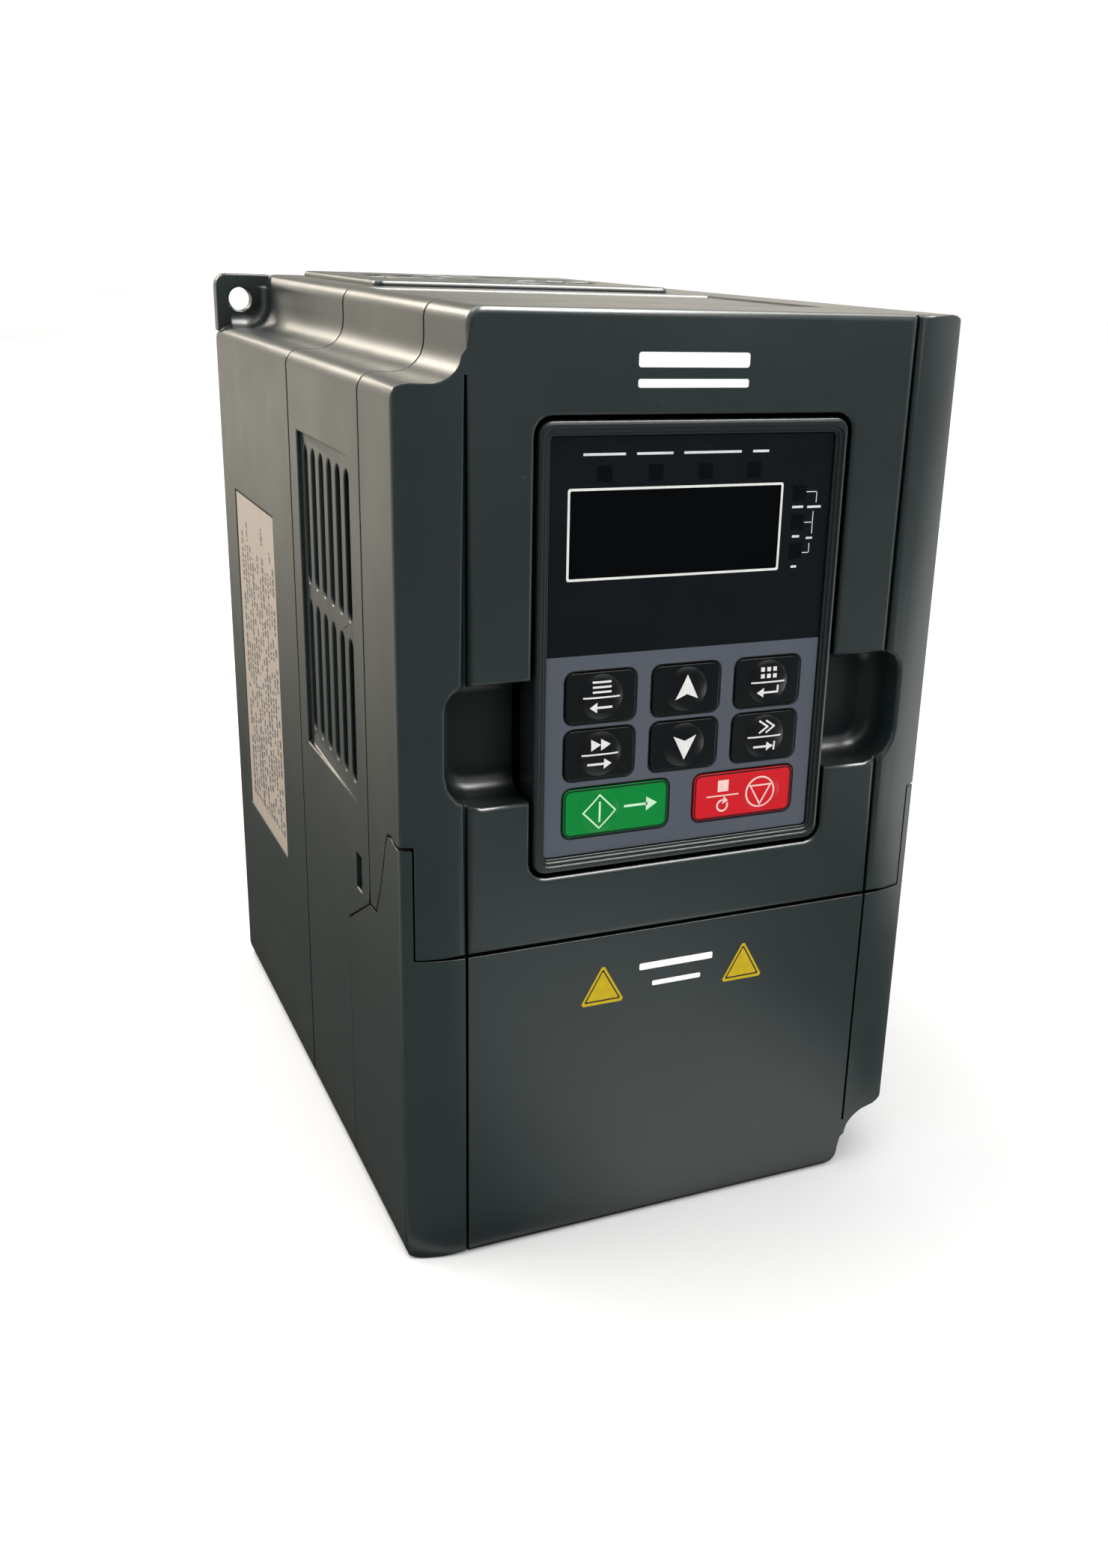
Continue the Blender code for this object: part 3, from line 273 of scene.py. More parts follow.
def overlay_film():
    """Printed polyester film: navy black above, slate grey below, with a fine matt texture."""
    mat, tree, shader, coords = shader_tree("overlay_film")
    split = tree.nodes.new("ShaderNodeSeparateXYZ")
    tree.links.new(coords, split.inputs["Vector"])
    below = maths(tree, "LESS_THAN", split.outputs["Z"], SPLIT_PRINT_Z * 0.001)
    tone = ramp(tree, noise(tree, coords, 40.0, 4.0), 0.3, 0.7)
    navy = mix(tree, tone, (0.0030, 0.0050, 0.0070), (0.0040, 0.0062, 0.0086))
    slate = mix(tree, tone, (0.066, 0.075, 0.092), (0.074, 0.084, 0.102))
    tree.links.new(mix(tree, below, navy, slate), shader.inputs["Base Color"])
    gloss = ramp(tree, noise(tree, coords, 120.0, 5.0), 0.3, 0.7, 0.38, 0.46)
    tree.links.new(gloss, shader.inputs["Roughness"])
    shader.inputs["Specular IOR Level"].default_value = 0.1
    bump(tree, shader, noise(tree, coords, 5200.0, 1.0), 2.5e-6)
    return mat


def circuit_board(name, color):
    """Solder resist over copper traces, with plated pads."""
    mat, tree, shader, coords = shader_tree(name)
    traces = tree.nodes.new("ShaderNodeTexBrick")
    traces.inputs["Scale"].default_value = 420.0
    traces.inputs["Mortar Size"].default_value = 0.06
    traces.inputs["Color1"].default_value = (0.0, 0.0, 0.0, 1.0)
    traces.inputs["Color2"].default_value = (0.0, 0.0, 0.0, 1.0)
    traces.inputs["Mortar"].default_value = (1.0, 1.0, 1.0, 1.0)
    turn = tree.nodes.new("ShaderNodeMapping")
    turn.inputs["Rotation"].default_value = (math.radians(90), 0.0, 0.0)
    tree.links.new(coords, turn.inputs["Vector"])
    tree.links.new(turn.outputs["Vector"], traces.inputs["Vector"])
    patches = ramp(tree, noise(tree, coords, 70.0), 0.45, 0.5)
    shown = maths(tree, "MULTIPLY", traces.outputs["Fac"], patches)
    light = tuple(min(1.0, c * 2.2 + 0.01) for c in color)
    resist = mix(tree, shown, color, light)
    pads = tree.nodes.new("ShaderNodeTexVoronoi")
    pads.inputs["Scale"].default_value = 260.0
    tree.links.new(turn.outputs["Vector"], pads.inputs["Vector"])
    dots = maths(tree, "LESS_THAN", pads.outputs["Distance"], 0.13)
    tree.links.new(mix(tree, dots, resist, (0.55, 0.52, 0.45)), shader.inputs["Base Color"])
    gloss = ramp(tree, noise(tree, coords, 200.0), 0.3, 0.7, 0.28, 0.4)
    tree.links.new(gloss, shader.inputs["Roughness"])
    bump(tree, shader, shown, 1.5e-5)
    return mat


def wound(name, color, pitch, axis):
    """Turns of wire or layers of tape, as bands along an axis."""
    mat, tree, shader, coords = shader_tree(name)
    wave = tree.nodes.new("ShaderNodeTexWave")
    wave.bands_direction = axis
    wave.inputs["Scale"].default_value = 0.314 / pitch
    wave.inputs["Distortion"].default_value = 0.6
    tree.links.new(coords, wave.inputs["Vector"])
    dark = tuple(c * 0.55 for c in color)
    tree.links.new(mix(tree, wave.outputs["Fac"], dark, color), shader.inputs["Base Color"])
    gloss = ramp(tree, noise(tree, coords, 300.0), 0.3, 0.7, 0.3, 0.42)
    tree.links.new(gloss, shader.inputs["Roughness"])
    bump(tree, shader, wave.outputs["Fac"], 8e-5)
    return mat


def paper(name, color):
    """Coated paper label, faintly marked and yellowed."""
    mat, tree, shader, coords = shader_tree(name)
    tone = ramp(tree, noise(tree, coords, 45.0, 5.0), 0.3, 0.7)
    warm = (color[0] * 0.93, color[1] * 0.9, color[2] * 0.84)
    tree.links.new(mix(tree, tone, warm, color), shader.inputs["Base Color"])
    fibres = noise(tree, coords, 1800.0, 2.0, (1.0, 1.0, 0.3))
    tree.links.new(ramp(tree, fibres, 0.3, 0.7, 0.36, 0.48), shader.inputs["Roughness"])
    bump(tree, shader, fibres, 3e-6)
    return mat


CASE = (0.0165, 0.0248, 0.0252)
case_plastic = moulded("case_plastic", CASE, 0.32, vary=0.07, dust=0.05, edge=0.0006, shade=0.92)
cover_plastic = moulded("cover_plastic", CASE, 0.32, vary=0.07, dust=0.05, edge=0.0002, shade=0.92)
bezel_plastic = moulded("bezel_plastic", (0.014, 0.019, 0.020), 0.30, vary=0.06, edge=0.00025,
                        shade=0.6)
# Painted shadow: the near-black chamfer faces stand for the shade inside the seam gaps
painted_seam_shadow = moulded("painted_seam_shadow", (0.0012, 0.0014, 0.0014), 0.7, gloss_level=0.1)
black_plastic = moulded("black_plastic", (0.010, 0.010, 0.011), 0.45)
terminal_plastic = moulded("terminal_plastic", (0.016, 0.016, 0.017), 0.42)
green_plastic = moulded("green_plastic", (0.03, 0.24, 0.09), 0.38)
relay_plastic = moulded("relay_plastic", (0.03, 0.09, 0.30), 0.3)
sleeve_film = moulded("sleeve_film", (0.018, 0.022, 0.035), 0.26, grain=2e-6)
clear_plastic = moulded("clear_plastic", (0.55, 0.55, 0.52), 0.25, grain=1e-6)
window_plastic = moulded("window_plastic", (0.0020, 0.0024, 0.0028), 0.16, grain=1e-6,
                         grain_scale=900.0, gloss_level=0.15)
lamp_plastic = moulded("lamp_plastic", (0.004, 0.005, 0.006), 0.3, grain=2e-6)
key_black = moulded("key_black", (0.0050, 0.0062, 0.0072), 0.27, vary=0.08, grain=2e-6,
                    grain_scale=5200.0, gloss_level=0.4)
key_green = moulded("key_green", (0.0, 0.185, 0.030), 0.27, vary=0.05, grain=2e-6,
                    grain_scale=5200.0, gloss_level=0.2)
key_red = moulded("key_red", (0.50, 0.006, 0.013), 0.27, vary=0.05, grain=2e-6, grain_scale=5200.0,
                  gloss_level=0.2)
aluminium = metal("aluminium", (0.62, 0.63, 0.64), 0.36, (1.0, 1.0, 0.02), 1400.0)
steel = metal("steel", (0.58, 0.58, 0.57), 0.32)
brass = metal("brass", (0.72, 0.53, 0.24), 0.34)
ferrite = moulded("ferrite", (0.03, 0.03, 0.032), 0.55, vary=0.25, grain=2e-5, grain_scale=1500.0)
copper_winding = wound("copper_winding", (0.50, 0.20, 0.08), 0.0011, "X")
coil_tape = wound("coil_tape", (0.66, 0.45, 0.06), 0.0024, "Y")
power_resist = circuit_board("power_resist", (0.012, 0.10, 0.035))
control_resist = circuit_board("control_resist", (0.010, 0.085, 0.04))
label_paper = paper("label_paper", (0.37, 0.315, 0.265))
film = overlay_film()
white_ink = printed("white_ink", (0.66, 0.66, 0.64))
soft_white_ink = printed("soft_white_ink", (0.60, 0.61, 0.62))
mark_ink = printed("mark_ink", (0.87, 0.87, 0.86))
yellow_ink = printed("yellow_ink", (0.47, 0.335, 0.004), 0.4, 0.15)
green_key_ink = printed("green_key_ink", (0.48, 0.74, 0.50))
red_key_ink = printed("red_key_ink", (0.80, 0.52, 0.48))
lens_ink = printed("lens_ink", (0.0018, 0.0032, 0.0046), 0.3, 0.15)
# Dark ink for printed borders, which also serves as painted shade in the screw slots
dark_ink_and_slot_shade = printed("dark_ink_and_slot_shade", (0.010, 0.011, 0.012))
key_edge_ink = printed("key_edge_ink", (0.004, 0.005, 0.006))
label_ink = printed("label_ink", (0.135, 0.12, 0.105))

FINISH = {
    "aluminium": aluminium, "black_plastic": black_plastic, "steel": steel, "brass": brass,
    "copper": copper_winding, "board": control_resist, "sleeve": sleeve_film, "ferrite": ferrite,
    "tape": coil_tape, "relay": relay_plastic, "terminal": terminal_plastic,
    "terminal_green": green_plastic, "overlay": film, "window": window_plastic,
    "lamp": lamp_plastic,
    "clear_plastic": clear_plastic, "key_black": key_black, "key_green": key_green,
    "key_red": key_red, "label": label_paper, "case": case_plastic,
}
SLOTS = {s["node"]: s["material_slot"] for s in frame["record"]["subparts"]}


def paint(obj, *mats):
    """Gives an object these materials and no other."""
    obj.data.materials.clear()
    for mat in mats:
        obj.data.materials.append(mat)


for node_name, node in nodes.items():
    paint(node, FINISH[SLOTS[node_name]])
paint(nodes["power_board"], power_resist)


# ---------------------------------------------------------------- shapes

def arc(centre_a, centre_b, radius, start_deg, end_deg, steps):
    """Points along an arc, both ends included."""
    points = []
    for i in range(steps + 1):
        angle = math.radians(start_deg + (end_deg - start_deg) * i / steps)
        points.append((centre_a + radius * math.cos(angle), centre_b + radius * math.sin(angle)))
    return points


def rounded_rect(centre_a, centre_b, width, height, radius, steps=5):
    """Outline of a rectangle with round corners."""
    a = width / 2 - radius
    b = height / 2 - radius
    points = []
    for quarter, (sign_a, sign_b) in enumerate(((1, 1), (-1, 1), (-1, -1), (1, -1))):
        points += arc(centre_a + sign_a * a, centre_b + sign_b * b, radius,
                      quarter * 90, quarter * 90 + 90, steps)
    return points


def finish_mesh(name, bm, *mats, angle=32.0):
    """Turns a bmesh into an object with smooth faces and sharp edges."""
    bmesh.ops.recalc_face_normals(bm, faces=bm.faces)
    mesh = bpy.data.meshes.new(name)
    bm.to_mesh(mesh)
    bm.free()
    mesh.shade_smooth()
    mesh.set_sharp_from_angle(angle=math.radians(angle))
    obj = bpy.data.objects.new(name, mesh)
    scene.collection.objects.link(obj)
    for mat in mats:
        mesh.materials.append(mat)
    return obj


def edge_round(obj, width, clamp, segments=2, angle=34.0):
    """Small moulding radii on an object's edges."""
    if width:
        modifier = obj.modifiers.new("edges", "BEVEL")
        modifier.width = width * 0.001
        modifier.segments = segments
        modifier.limit_method = "ANGLE"
        modifier.angle_limit = math.radians(angle)
        modifier.use_clamp_overlap = clamp
    flat = obj.modifiers.new("flat_faces", "WEIGHTED_NORMAL")
    flat.mode = "FACE_AREA_WITH_ANGLE"
    flat.keep_sharp = True


def is_rim(edge):
    """Whether an edge lies where the flat front panel turns into the pocket or a finger hollow."""
    middle = (edge.verts[0].co + edge.verts[1].co) * 500.0
    if len(edge.link_faces) != 2 or middle.y + DEPTH / 2 > 0.9:
        return False
    if abs(middle.x) > RIM_HALF_X or not RIM_LOW_Z < middle.z < RIM_HIGH_Z:
        return False
    facing = sorted(-face.normal.y for face in edge.link_faces)
    return facing[0] < 0.3 and facing[1] > 0.95


def is_seam(edge, d):
    """Whether an edge lies on the outside of the case, at a shell's front edge."""
    middle = (edge.verts[0].co + edge.verts[1].co) * 500.0
    if len(edge.link_faces) != 2 or abs(middle.y + DEPTH / 2 - d) > 0.05:
        return False
    facing = sorted(-face.normal.y for face in edge.link_faces)
    side = min(edge.link_faces, key=lambda face: -face.normal.y)
    outward = side.normal.dot(Vector((middle.x, 0.0, middle.z - HEIGHT / 2)))
    return abs(facing[0]) < 0.3 and facing[1] > 0.95 and outward > 0


def crown_drop(past):
    """How much deeper the swelled shoulder lies than its plain slope, past the groove."""
    return CROWN_FALL * past * past - CROWN_RISE * past


def crown(bm):
    """Swells the shoulders, so that they turn gently from the grooves into the sides."""
    slope = math.atan(SHOULDER_FALL)
    old_x = WIDTH / 2 - SIDE_EDGE_R
    end_x = old_x + SIDE_EDGE_R * math.sin(slope)
    end_d = SHOULDER_FALL * (end_x - GROOVE_X)
    old_d = end_d + SIDE_EDGE_R * math.cos(slope)
    reach = WIDTH / 2 - GROOVE_X
    for _round in range(8):
        turn = math.atan(SHOULDER_FALL + 2 * CROWN_FALL * reach - CROWN_RISE)
        reach = WIDTH / 2 - GROOVE_X - CROWN_EDGE_R * (1 - math.sin(turn))
    new_d = SHOULDER_FALL * reach + crown_drop(reach) + CROWN_EDGE_R * math.cos(turn)
    for sign in (-1, 1):
        for cut in CROWN_CUTS:
            faces = [f for f in bm.faces if f.normal.y < -0.95
                     and sign * f.calc_center_median().x > GROOVE_X * 0.001]
            verts = list({v for f in faces for v in f.verts})
            edges = list({e for f in faces for e in f.edges})
            bmesh.ops.bisect_plane(bm, geom=verts + edges + faces, dist=1e-6, plane_no=(1, 0, 0),
                                   plane_co=(sign * (GROOVE_X + cut) * 0.001, 0, 0))
    for vert in bm.verts:
        x = abs(vert.co.x) * 1000
        d = vert.co.y * 1000 + DEPTH / 2
        under = d - SHOULDER_FALL * (x - GROOVE_X)
        aside = x - GROOVE_X
        if abs(abs(aside) - GROOVE_HALF) < 0.01 and d < GROOVE_DEEP + 0.01:
            x = GROOVE_X + math.copysign(GROOVE_HALF_FINE, aside)
        if GROOVE_X < x <= end_x + 0.001 and under < RIM_R:
            d += crown_drop(x - GROOVE_X) * (1 - max(under, 0.0) / RIM_R)
        elif (x > end_x and d < old_d + 0.01
              and abs(math.hypot(x - old_x, old_d - d) - SIDE_EDGE_R) < 0.04):
            share = (math.atan2(x - old_x, old_d - d) - slope) / (math.pi / 2 - slope)
            if share < CROWN_SHARE:
                past = end_x - GROOVE_X + (reach - end_x + GROOVE_X) * share / CROWN_SHARE
                x = GROOVE_X + past
                d = SHOULDER_FALL * past + crown_drop(past)
            else:
                angle = turn + (math.pi / 2 - turn) * (share - CROWN_SHARE) / (1 - CROWN_SHARE)
                x = WIDTH / 2 - CROWN_EDGE_R * (1 - math.sin(angle))
                d = new_d - CROWN_EDGE_R * math.cos(angle)
        vert.co.x = math.copysign(x * 0.001, vert.co.x)
        vert.co.y = (d - DEPTH / 2) * 0.001


def refined(node_name, mat, width, merge, segments=2):
    """A cleaned copy of a CAD node with moulding radii, which takes its place."""
    bm = bmesh.new()
    bm.from_mesh(nodes[node_name].data)
    bmesh.ops.remove_doubles(bm, verts=bm.verts, dist=2e-6)
    if merge:
        bmesh.ops.dissolve_limit(bm, angle_limit=math.radians(0.2), verts=bm.verts, edges=bm.edges)
    bm.normal_update()
    if node_name == "front_cover":
        bmesh.ops.bevel(bm, geom=[e for e in bm.edges if is_rim(e)], offset=RIM_R * 0.001,
                        offset_type="OFFSET", segments=3, profile=0.5, affect="EDGES",
                        clamp_overlap=False)
    if node_name in ("front_cover", "terminal_cover"):
        crown(bm)
    if node_name in SEAM_D:
        seam = [e for e in bm.edges if is_seam(e, SEAM_D[node_name])]
        # The chamfers take the second material, the painted shadow of the seam gaps
        bmesh.ops.bevel(bm, geom=seam, offset=SEAM_R * 0.001, offset_type="OFFSET", segments=1,
                        profile=0.5, affect="EDGES", clamp_overlap=False, material=1)
    obj = finish_mesh(f"{node_name}_skin", bm, mat, *([painted_seam_shadow] if node_name in SEAM_D else []))
    edge_round(obj, width, merge, segments)
    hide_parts(node_name)
    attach(obj, nodes[node_name]["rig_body"])
    return obj


for name, mat, width, merge in (
        ("rear_housing", case_plastic, 0.3, False), ("middle_housing", case_plastic, 0.25, False),
        ("front_cover", case_plastic, 0.0, True), ("terminal_cover", cover_plastic, 0.12, True),
        ("fan_cover", case_plastic, 0.25, True), ("keypad_bezel", bezel_plastic, 0.18, True),
        ("heatsink", aluminium, 0.2, True)):
    refined(name, mat, width, merge)


# ---------------------------------------------------------------- keys and prints

def dome_height(radius):
    """How far a key's soft dome stands proud at this radius from its middle."""
    if radius >= DOME_R:
        return 0.0
    return DOME_HIGH * (1 - (radius / DOME_R) ** 4)


def dome_x(x):
    """Domes stand in three columns, also under the two wide keys."""
    if x == 0.0:
        return 0.0
    return math.copysign(KEY_PITCH, x)


def key_surface(name):
    """Front surface of a key as d for a place (x, z)."""
    centre_x, centre_z, _width = KEYS[name]
    centre_x = dome_x(centre_x)

    def surface(x, z):
        return KEY_FRONT_D - dome_height(math.hypot(x - centre_x, z - centre_z))
    return surface


def make_key(name, mat):
    """A film key with a soft dome, its rim turned in at the edge."""
    x, z, width = KEYS[name]
    surface = key_surface(name)
    bm = bmesh.new()
    rings = []
    outline = rounded_rect(x, z, width, KEY_H, KEY_R, 6)
    for inset, depth in ((0.0, 0.6), (0.0, 0.12), (0.05, 0.03), (0.16, 0.0)):
        d = KEY_FRONT_D + depth
        ring = rounded_rect(x, z, width - 2 * inset, KEY_H - 2 * inset, KEY_R - inset, 6)
        rings.append([bm.verts.new(point(a, d, b)) for a, b in ring])
    count = len(outline)
    for ring, other in zip(rings, rings[1:]):
        for i in range(count):
            j = (i + 1) % count
            bm.faces.new((ring[i], ring[j], other[j], other[i]))
    bm.faces.new(list(reversed(rings[0])))
    centre = (dome_x(x), z)
    steps = 40
    circles = []
    for share in (1.0, 0.975, 0.94, 0.89, 0.82, 0.73, 0.61, 0.46, 0.27):
        radius = (DOME_R + 0.01) * share
        circles.append([bm.verts.new(point(a, surface(a, b), b))
                        for a, b in arc(centre[0], centre[1], radius, 0, 360, steps)[:-1]])
    for ring, other in zip(circles, circles[1:]):
        for i in range(steps):
            j = (i + 1) % steps
            bm.faces.new((ring[i], ring[j], other[j], other[i]))
    middle = bm.verts.new(point(centre[0], surface(*centre), centre[1]))
    for i in range(steps):
        bm.faces.new((circles[-1][i], circles[-1][(i + 1) % steps], middle))
    rim_edges = []
    for ring in (rings[-1], circles[0]):
        for i in range(len(ring)):
            pair = (ring[i], ring[(i + 1) % len(ring)])
            rim_edges.append(bm.edges.get(pair) or bm.edges.new(pair))
    bmesh.ops.triangle_fill(bm, edges=rim_edges, use_beauty=True)
    obj = finish_mesh(f"{name}_cap", bm, mat, angle=14.0)
    stem = bmesh.new()
    stem_front = [stem.verts.new(point(a, KEY_FRONT_D + 0.5, b)) for a, b in
                  arc(centre[0], centre[1], 2.5, 0, 360, 20)[:-1]]
    stem_rear = [stem.verts.new(point(a, 4.7, b)) for a, b in
                 arc(centre[0], centre[1], 2.5, 0, 360, 20)[:-1]]
    stem.faces.new(stem_front)
    stem.faces.new(list(reversed(stem_rear)))
    for i in range(20):
        j = (i + 1) % 20
        stem.faces.new((stem_front[i], stem_front[j], stem_rear[j], stem_rear[i]))
    post = finish_mesh(f"{name}_stem", stem, mat)
    for piece in (obj, post):
        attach(piece, name)
    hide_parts(name)
    return obj


def sheet(bm, outline, to_world, index=0, longest=1.2):
    """A thin printed area: an outline laid on a surface, finely divided where it is large."""
    part = bmesh.new()
    part.faces.new([part.verts.new((a, b, 0.0)) for a, b in outline])
    bmesh.ops.triangulate(part, faces=part.faces)
    for _round in range(6):
        long_edges = [e for e in part.edges if e.calc_length() > longest]
        if not long_edges:
            break
        bmesh.ops.subdivide_edges(part, edges=long_edges, cuts=1)
        bmesh.ops.triangulate(part, faces=[f for f in part.faces if len(f.verts) > 3])
    made = {v: bm.verts.new(to_world(v.co.x, v.co.y)) for v in part.verts}
    for face in part.faces:
        new = bm.faces.new([made[v] for v in face.verts])
        new.material_index = index
    part.free()


def frame_outline(outer, inner):
    """Quads between two outlines that have the same number of points."""
    count = len(outer)
    return [[outer[i], outer[(i + 1) % count], inner[(i + 1) % count], inner[i]]
            for i in range(count)]


def bar(a0, b0, a1, b1):
    """Outline of a plain bar from corner to corner."""
    return [(a0, b0), (a1, b0), (a1, b1), (a0, b1)]


def stroke(points, width):
    """Outlines of short straight strokes along a path."""
    pieces = []
    for (a0, b0), (a1, b1) in zip(points, points[1:]):
        length = math.hypot(a1 - a0, b1 - b0)
        across = (-(b1 - b0) / length * width / 2, (a1 - a0) / length * width / 2)
        along = ((a1 - a0) / length * width / 2, (b1 - b0) / length * width / 2)
        pieces.append([(a0 - along[0] + across[0], b0 - along[1] + across[1]),
                       (a0 - along[0] - across[0], b0 - along[1] - across[1]),
                       (a1 + along[0] - across[0], b1 + along[1] - across[1]),
                       (a1 + along[0] + across[0], b1 + along[1] + across[1])])
    return pieces


def print_piece(name, body, to_world, layers):
    """One printed piece: (outlines, material) layers on a surface."""
    bm = bmesh.new()
    for index, (outlines, _mat) in enumerate(layers):
        for outline in outlines:
            sheet(bm, outline, to_world, index)
    mesh = bpy.data.meshes.new(name)
    bm.to_mesh(mesh)
    bm.free()
    for _outlines, mat in layers:
        mesh.materials.append(mat)
    obj = bpy.data.objects.new(name, mesh)
    scene.collection.objects.link(obj)
    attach(obj, body)
    return obj


def moved(outlines, by_a, by_b):
    """The same outlines, moved."""
    return [[(a + by_a, b + by_b) for a, b in outline] for outline in outlines]


def arrow_head(a, b, length, half, turn=0.0):
    """A solid triangle whose tip lies at (a, b); it points right, or is turned by degrees."""
    cos, sin = math.cos(math.radians(turn)), math.sin(math.radians(turn))
    return [(a + x * cos - y * sin, b + x * sin + y * cos)
            for x, y in ((0.0, 0.0), (-length, half), (-length, -half))]


def turn_arrow(a, b, radius, width):
    """An almost closed ring with an arrow head."""
    outer = arc(a, b, radius + width / 2, 80, 385, 16)
    inner = arc(a, b, radius - width / 2, 80, 385, 16)
    ring = [[outer[i], outer[i + 1], inner[i + 1], inner[i]] for i in range(len(outer) - 1)]
    return ring + [arrow_head(a + radius * 0.17 + 1.1, b + radius * 0.98 - 0.2, 1.2, 0.85, -10)]


def key_marks(name):
    """Generic marks for a key, as outlines in (x, z)."""
    x, z, _width = KEYS[name]
    if name in ("key_up", "key_down"):
        flip = 1 if name == "key_up" else -1
        z += 0.35 * flip
        return [[(x, z + 2.6 * flip), (x - 2.45, z - 2.3 * flip), (x, z - 1.25 * flip)],
                [(x, z + 2.6 * flip), (x, z - 1.25 * flip), (x + 2.45, z - 2.3 * flip)]]
    line = bar(-3.75, -0.16, 3.75, 0.16)
    if name == "key_program":
        marks = [bar(-1.9, b - 0.2, 1.9, b + 0.2) for b in (1.05, 2.0, 2.95)]
        marks += [bar(-1.4, -2.2, 2.2, -1.75), arrow_head(-2.4, -1.975, 1.5, 1.05, 180)]
        return moved(marks + [line], x, z)
    if name == "key_enter":
        marks = [bar(a - 0.42, b - 0.42, a + 0.42, b + 0.42)
                 for a in (-1.35, 0.0, 1.35) for b in (1.25, 2.6)]
        marks += stroke([(2.2, -0.95), (2.2, -2.1), (-1.0, -2.1)], 0.42)
        marks += [arrow_head(-2.4, -2.1, 1.5, 1.0, 180)]
        return moved(marks + [line], x, z)
    if name == "key_jog":
        marks = [arrow_head(0.1, 1.9, 2.0, 1.15), arrow_head(2.1, 1.9, 2.0, 1.15)]
        marks += [bar(-2.6, -2.15, 0.9, -1.7), arrow_head(2.4, -1.925, 1.6, 1.05)]
        return moved(marks + [line], x, z)
    if name == "key_shift":
        marks = []
        for start in (-1.2, 0.3):
            marks += stroke([(start, 3.2), (start + 1.7, 2.05), (start, 0.9)], 0.38)
        marks += [bar(-2.4, -2.3, 1.9, -1.85), bar(2.1, -3.0, 2.5, -1.15),
                  arrow_head(1.9, -2.075, 1.4, 0.95)]
        return moved(marks + [line], x, z)
    if name == "key_run":
        left = dome_x(x) + 0.2
        ring = [(left, z + 3.6), (left - 3.6, z), (left, z - 3.6), (left + 3.6, z)]
        inner = [(left, z + 3.15), (left - 3.15, z), (left, z - 3.15), (left + 3.15, z)]
        marks = frame_outline(ring, inner) + [bar(left - 0.2, z - 2.1, left + 0.2, z + 2.1)]
        play = [bar(x + 1.6, z + 0.1, x + 6.6, z + 0.6), arrow_head(x + 8.7, z + 0.35, 2.4, 1.45)]
        return marks + play
    right = dome_x(x) - 0.2
    ring = arc(right, z, 3.3, 0, 360, 36)[:-1]
    inner = arc(right, z, 2.95, 0, 360, 36)[:-1]
    marks = frame_outline(ring, inner)
    outer, inside = [[(right + size * math.cos(t), z + 0.1 - size * math.sin(t)) for t in
                      (math.radians(90), math.radians(210), math.radians(330))]
                     for size in (3.0, 2.35)]
    marks += frame_outline(outer, inside)
    left = x - 4.6
    marks += [bar(left - 1.2, z + 0.85, left + 1.2, z + 3.25),
              bar(left - 3.6, z - 0.14, left + 3.6, z + 0.14)]
    return marks + turn_arrow(left, z - 2.1, 1.15, 0.4)


KEY_FINISH = {"key_run": key_green, "key_stop": key_red}
KEY_INK = {"key_run": green_key_ink, "key_stop": red_key_ink}
for name in KEYS:
    make_key(name, KEY_FINISH.get(name, key_black))
    surface = key_surface(name)

    def on_key(a, b, surface=surface):
        return point(a, surface(a, b) - 0.045, b)
    layers = [(key_marks(name), KEY_INK.get(name, white_ink))]
    if name in KEY_FINISH:
        x, z, width = KEYS[name]
        rim = frame_outline(rounded_rect(x, z, width - 0.3, KEY_H - 0.3, KEY_R - 0.15, 6),
                            rounded_rect(x, z, width - 0.8, KEY_H - 0.8, KEY_R - 0.4, 6))
        layers.append((rim, key_edge_ink))
    print_piece(f"{name}_print", name, on_key, layers)


def on_overlay(a, b):
    """A place just above the overlay film."""
    return point(a, OVERLAY_D - 0.02, b)


def overlay_print():
    """Window border, unit brackets, plain bars, lamp lenses and dark surrounds of the keys."""
    white = frame_outline(rounded_rect(-3.4, 146.2, 43.8, 16.6, 0.3, 1),
                          rounded_rect(-3.4, 146.2, 42.9, 15.7, 0.2, 1))
    soft = []
    for x, width in ((-18.4, 8.2), (-8.5, 7.2), (3.2, 11.8), (13.2, 3.4)):
        soft.append(bar(x - width / 2, 160.15, x + width / 2, 160.6))
    for z, half in ((149.8, 1.2), (144.2, 0.8), (138.4, 0.6)):
        soft.append(bar(21.9 - half, z - 0.22, 21.9 + half, z + 0.22))
    soft += [bar(24.0, 149.5, 27.0, 149.95), bar(24.2, 143.6, 25.6, 144.0)]
    soft += stroke([(23.7, 152.6), (25.9, 152.6), (25.9, 150.6)], 0.16)
    soft += stroke([(23.3, 146.8), (25.4, 146.8)], 0.16)
    soft += stroke([(25.4, 148.8), (25.4, 144.7)], 0.16)
    soft += stroke([(23.0, 141.0), (25.0, 141.0), (25.0, 142.7)], 0.16)
    lens = [rounded_rect(x, z, 2.9, 2.9, 0.3, 2) for x, z in LAMPS]
    dark = []
    for x, z, width in KEYS.values():
        dark += frame_outline(rounded_rect(x, z, width + 1.0, KEY_H + 1.0, KEY_R + 0.5, 5),
                              rounded_rect(x, z, width + 0.6, KEY_H + 0.6, KEY_R + 0.3, 5))
    return [(white, white_ink), (soft, soft_white_ink), (dark, key_edge_ink), (lens, lens_ink)]


print_piece("overlay_print", "keypad", on_overlay, overlay_print())


def on_front(a, b):
    """A place just above the flat front panel."""
    return point(a, -0.03, b)


mark = [rounded_rect(-2.0, 176.6, 22.0, 2.6, 0.5, 3), rounded_rect(-2.0, 172.6, 22.0, 1.5, 0.4, 3)]
print_piece("front_mark", "case", on_front, [(mark, mark_ink)])


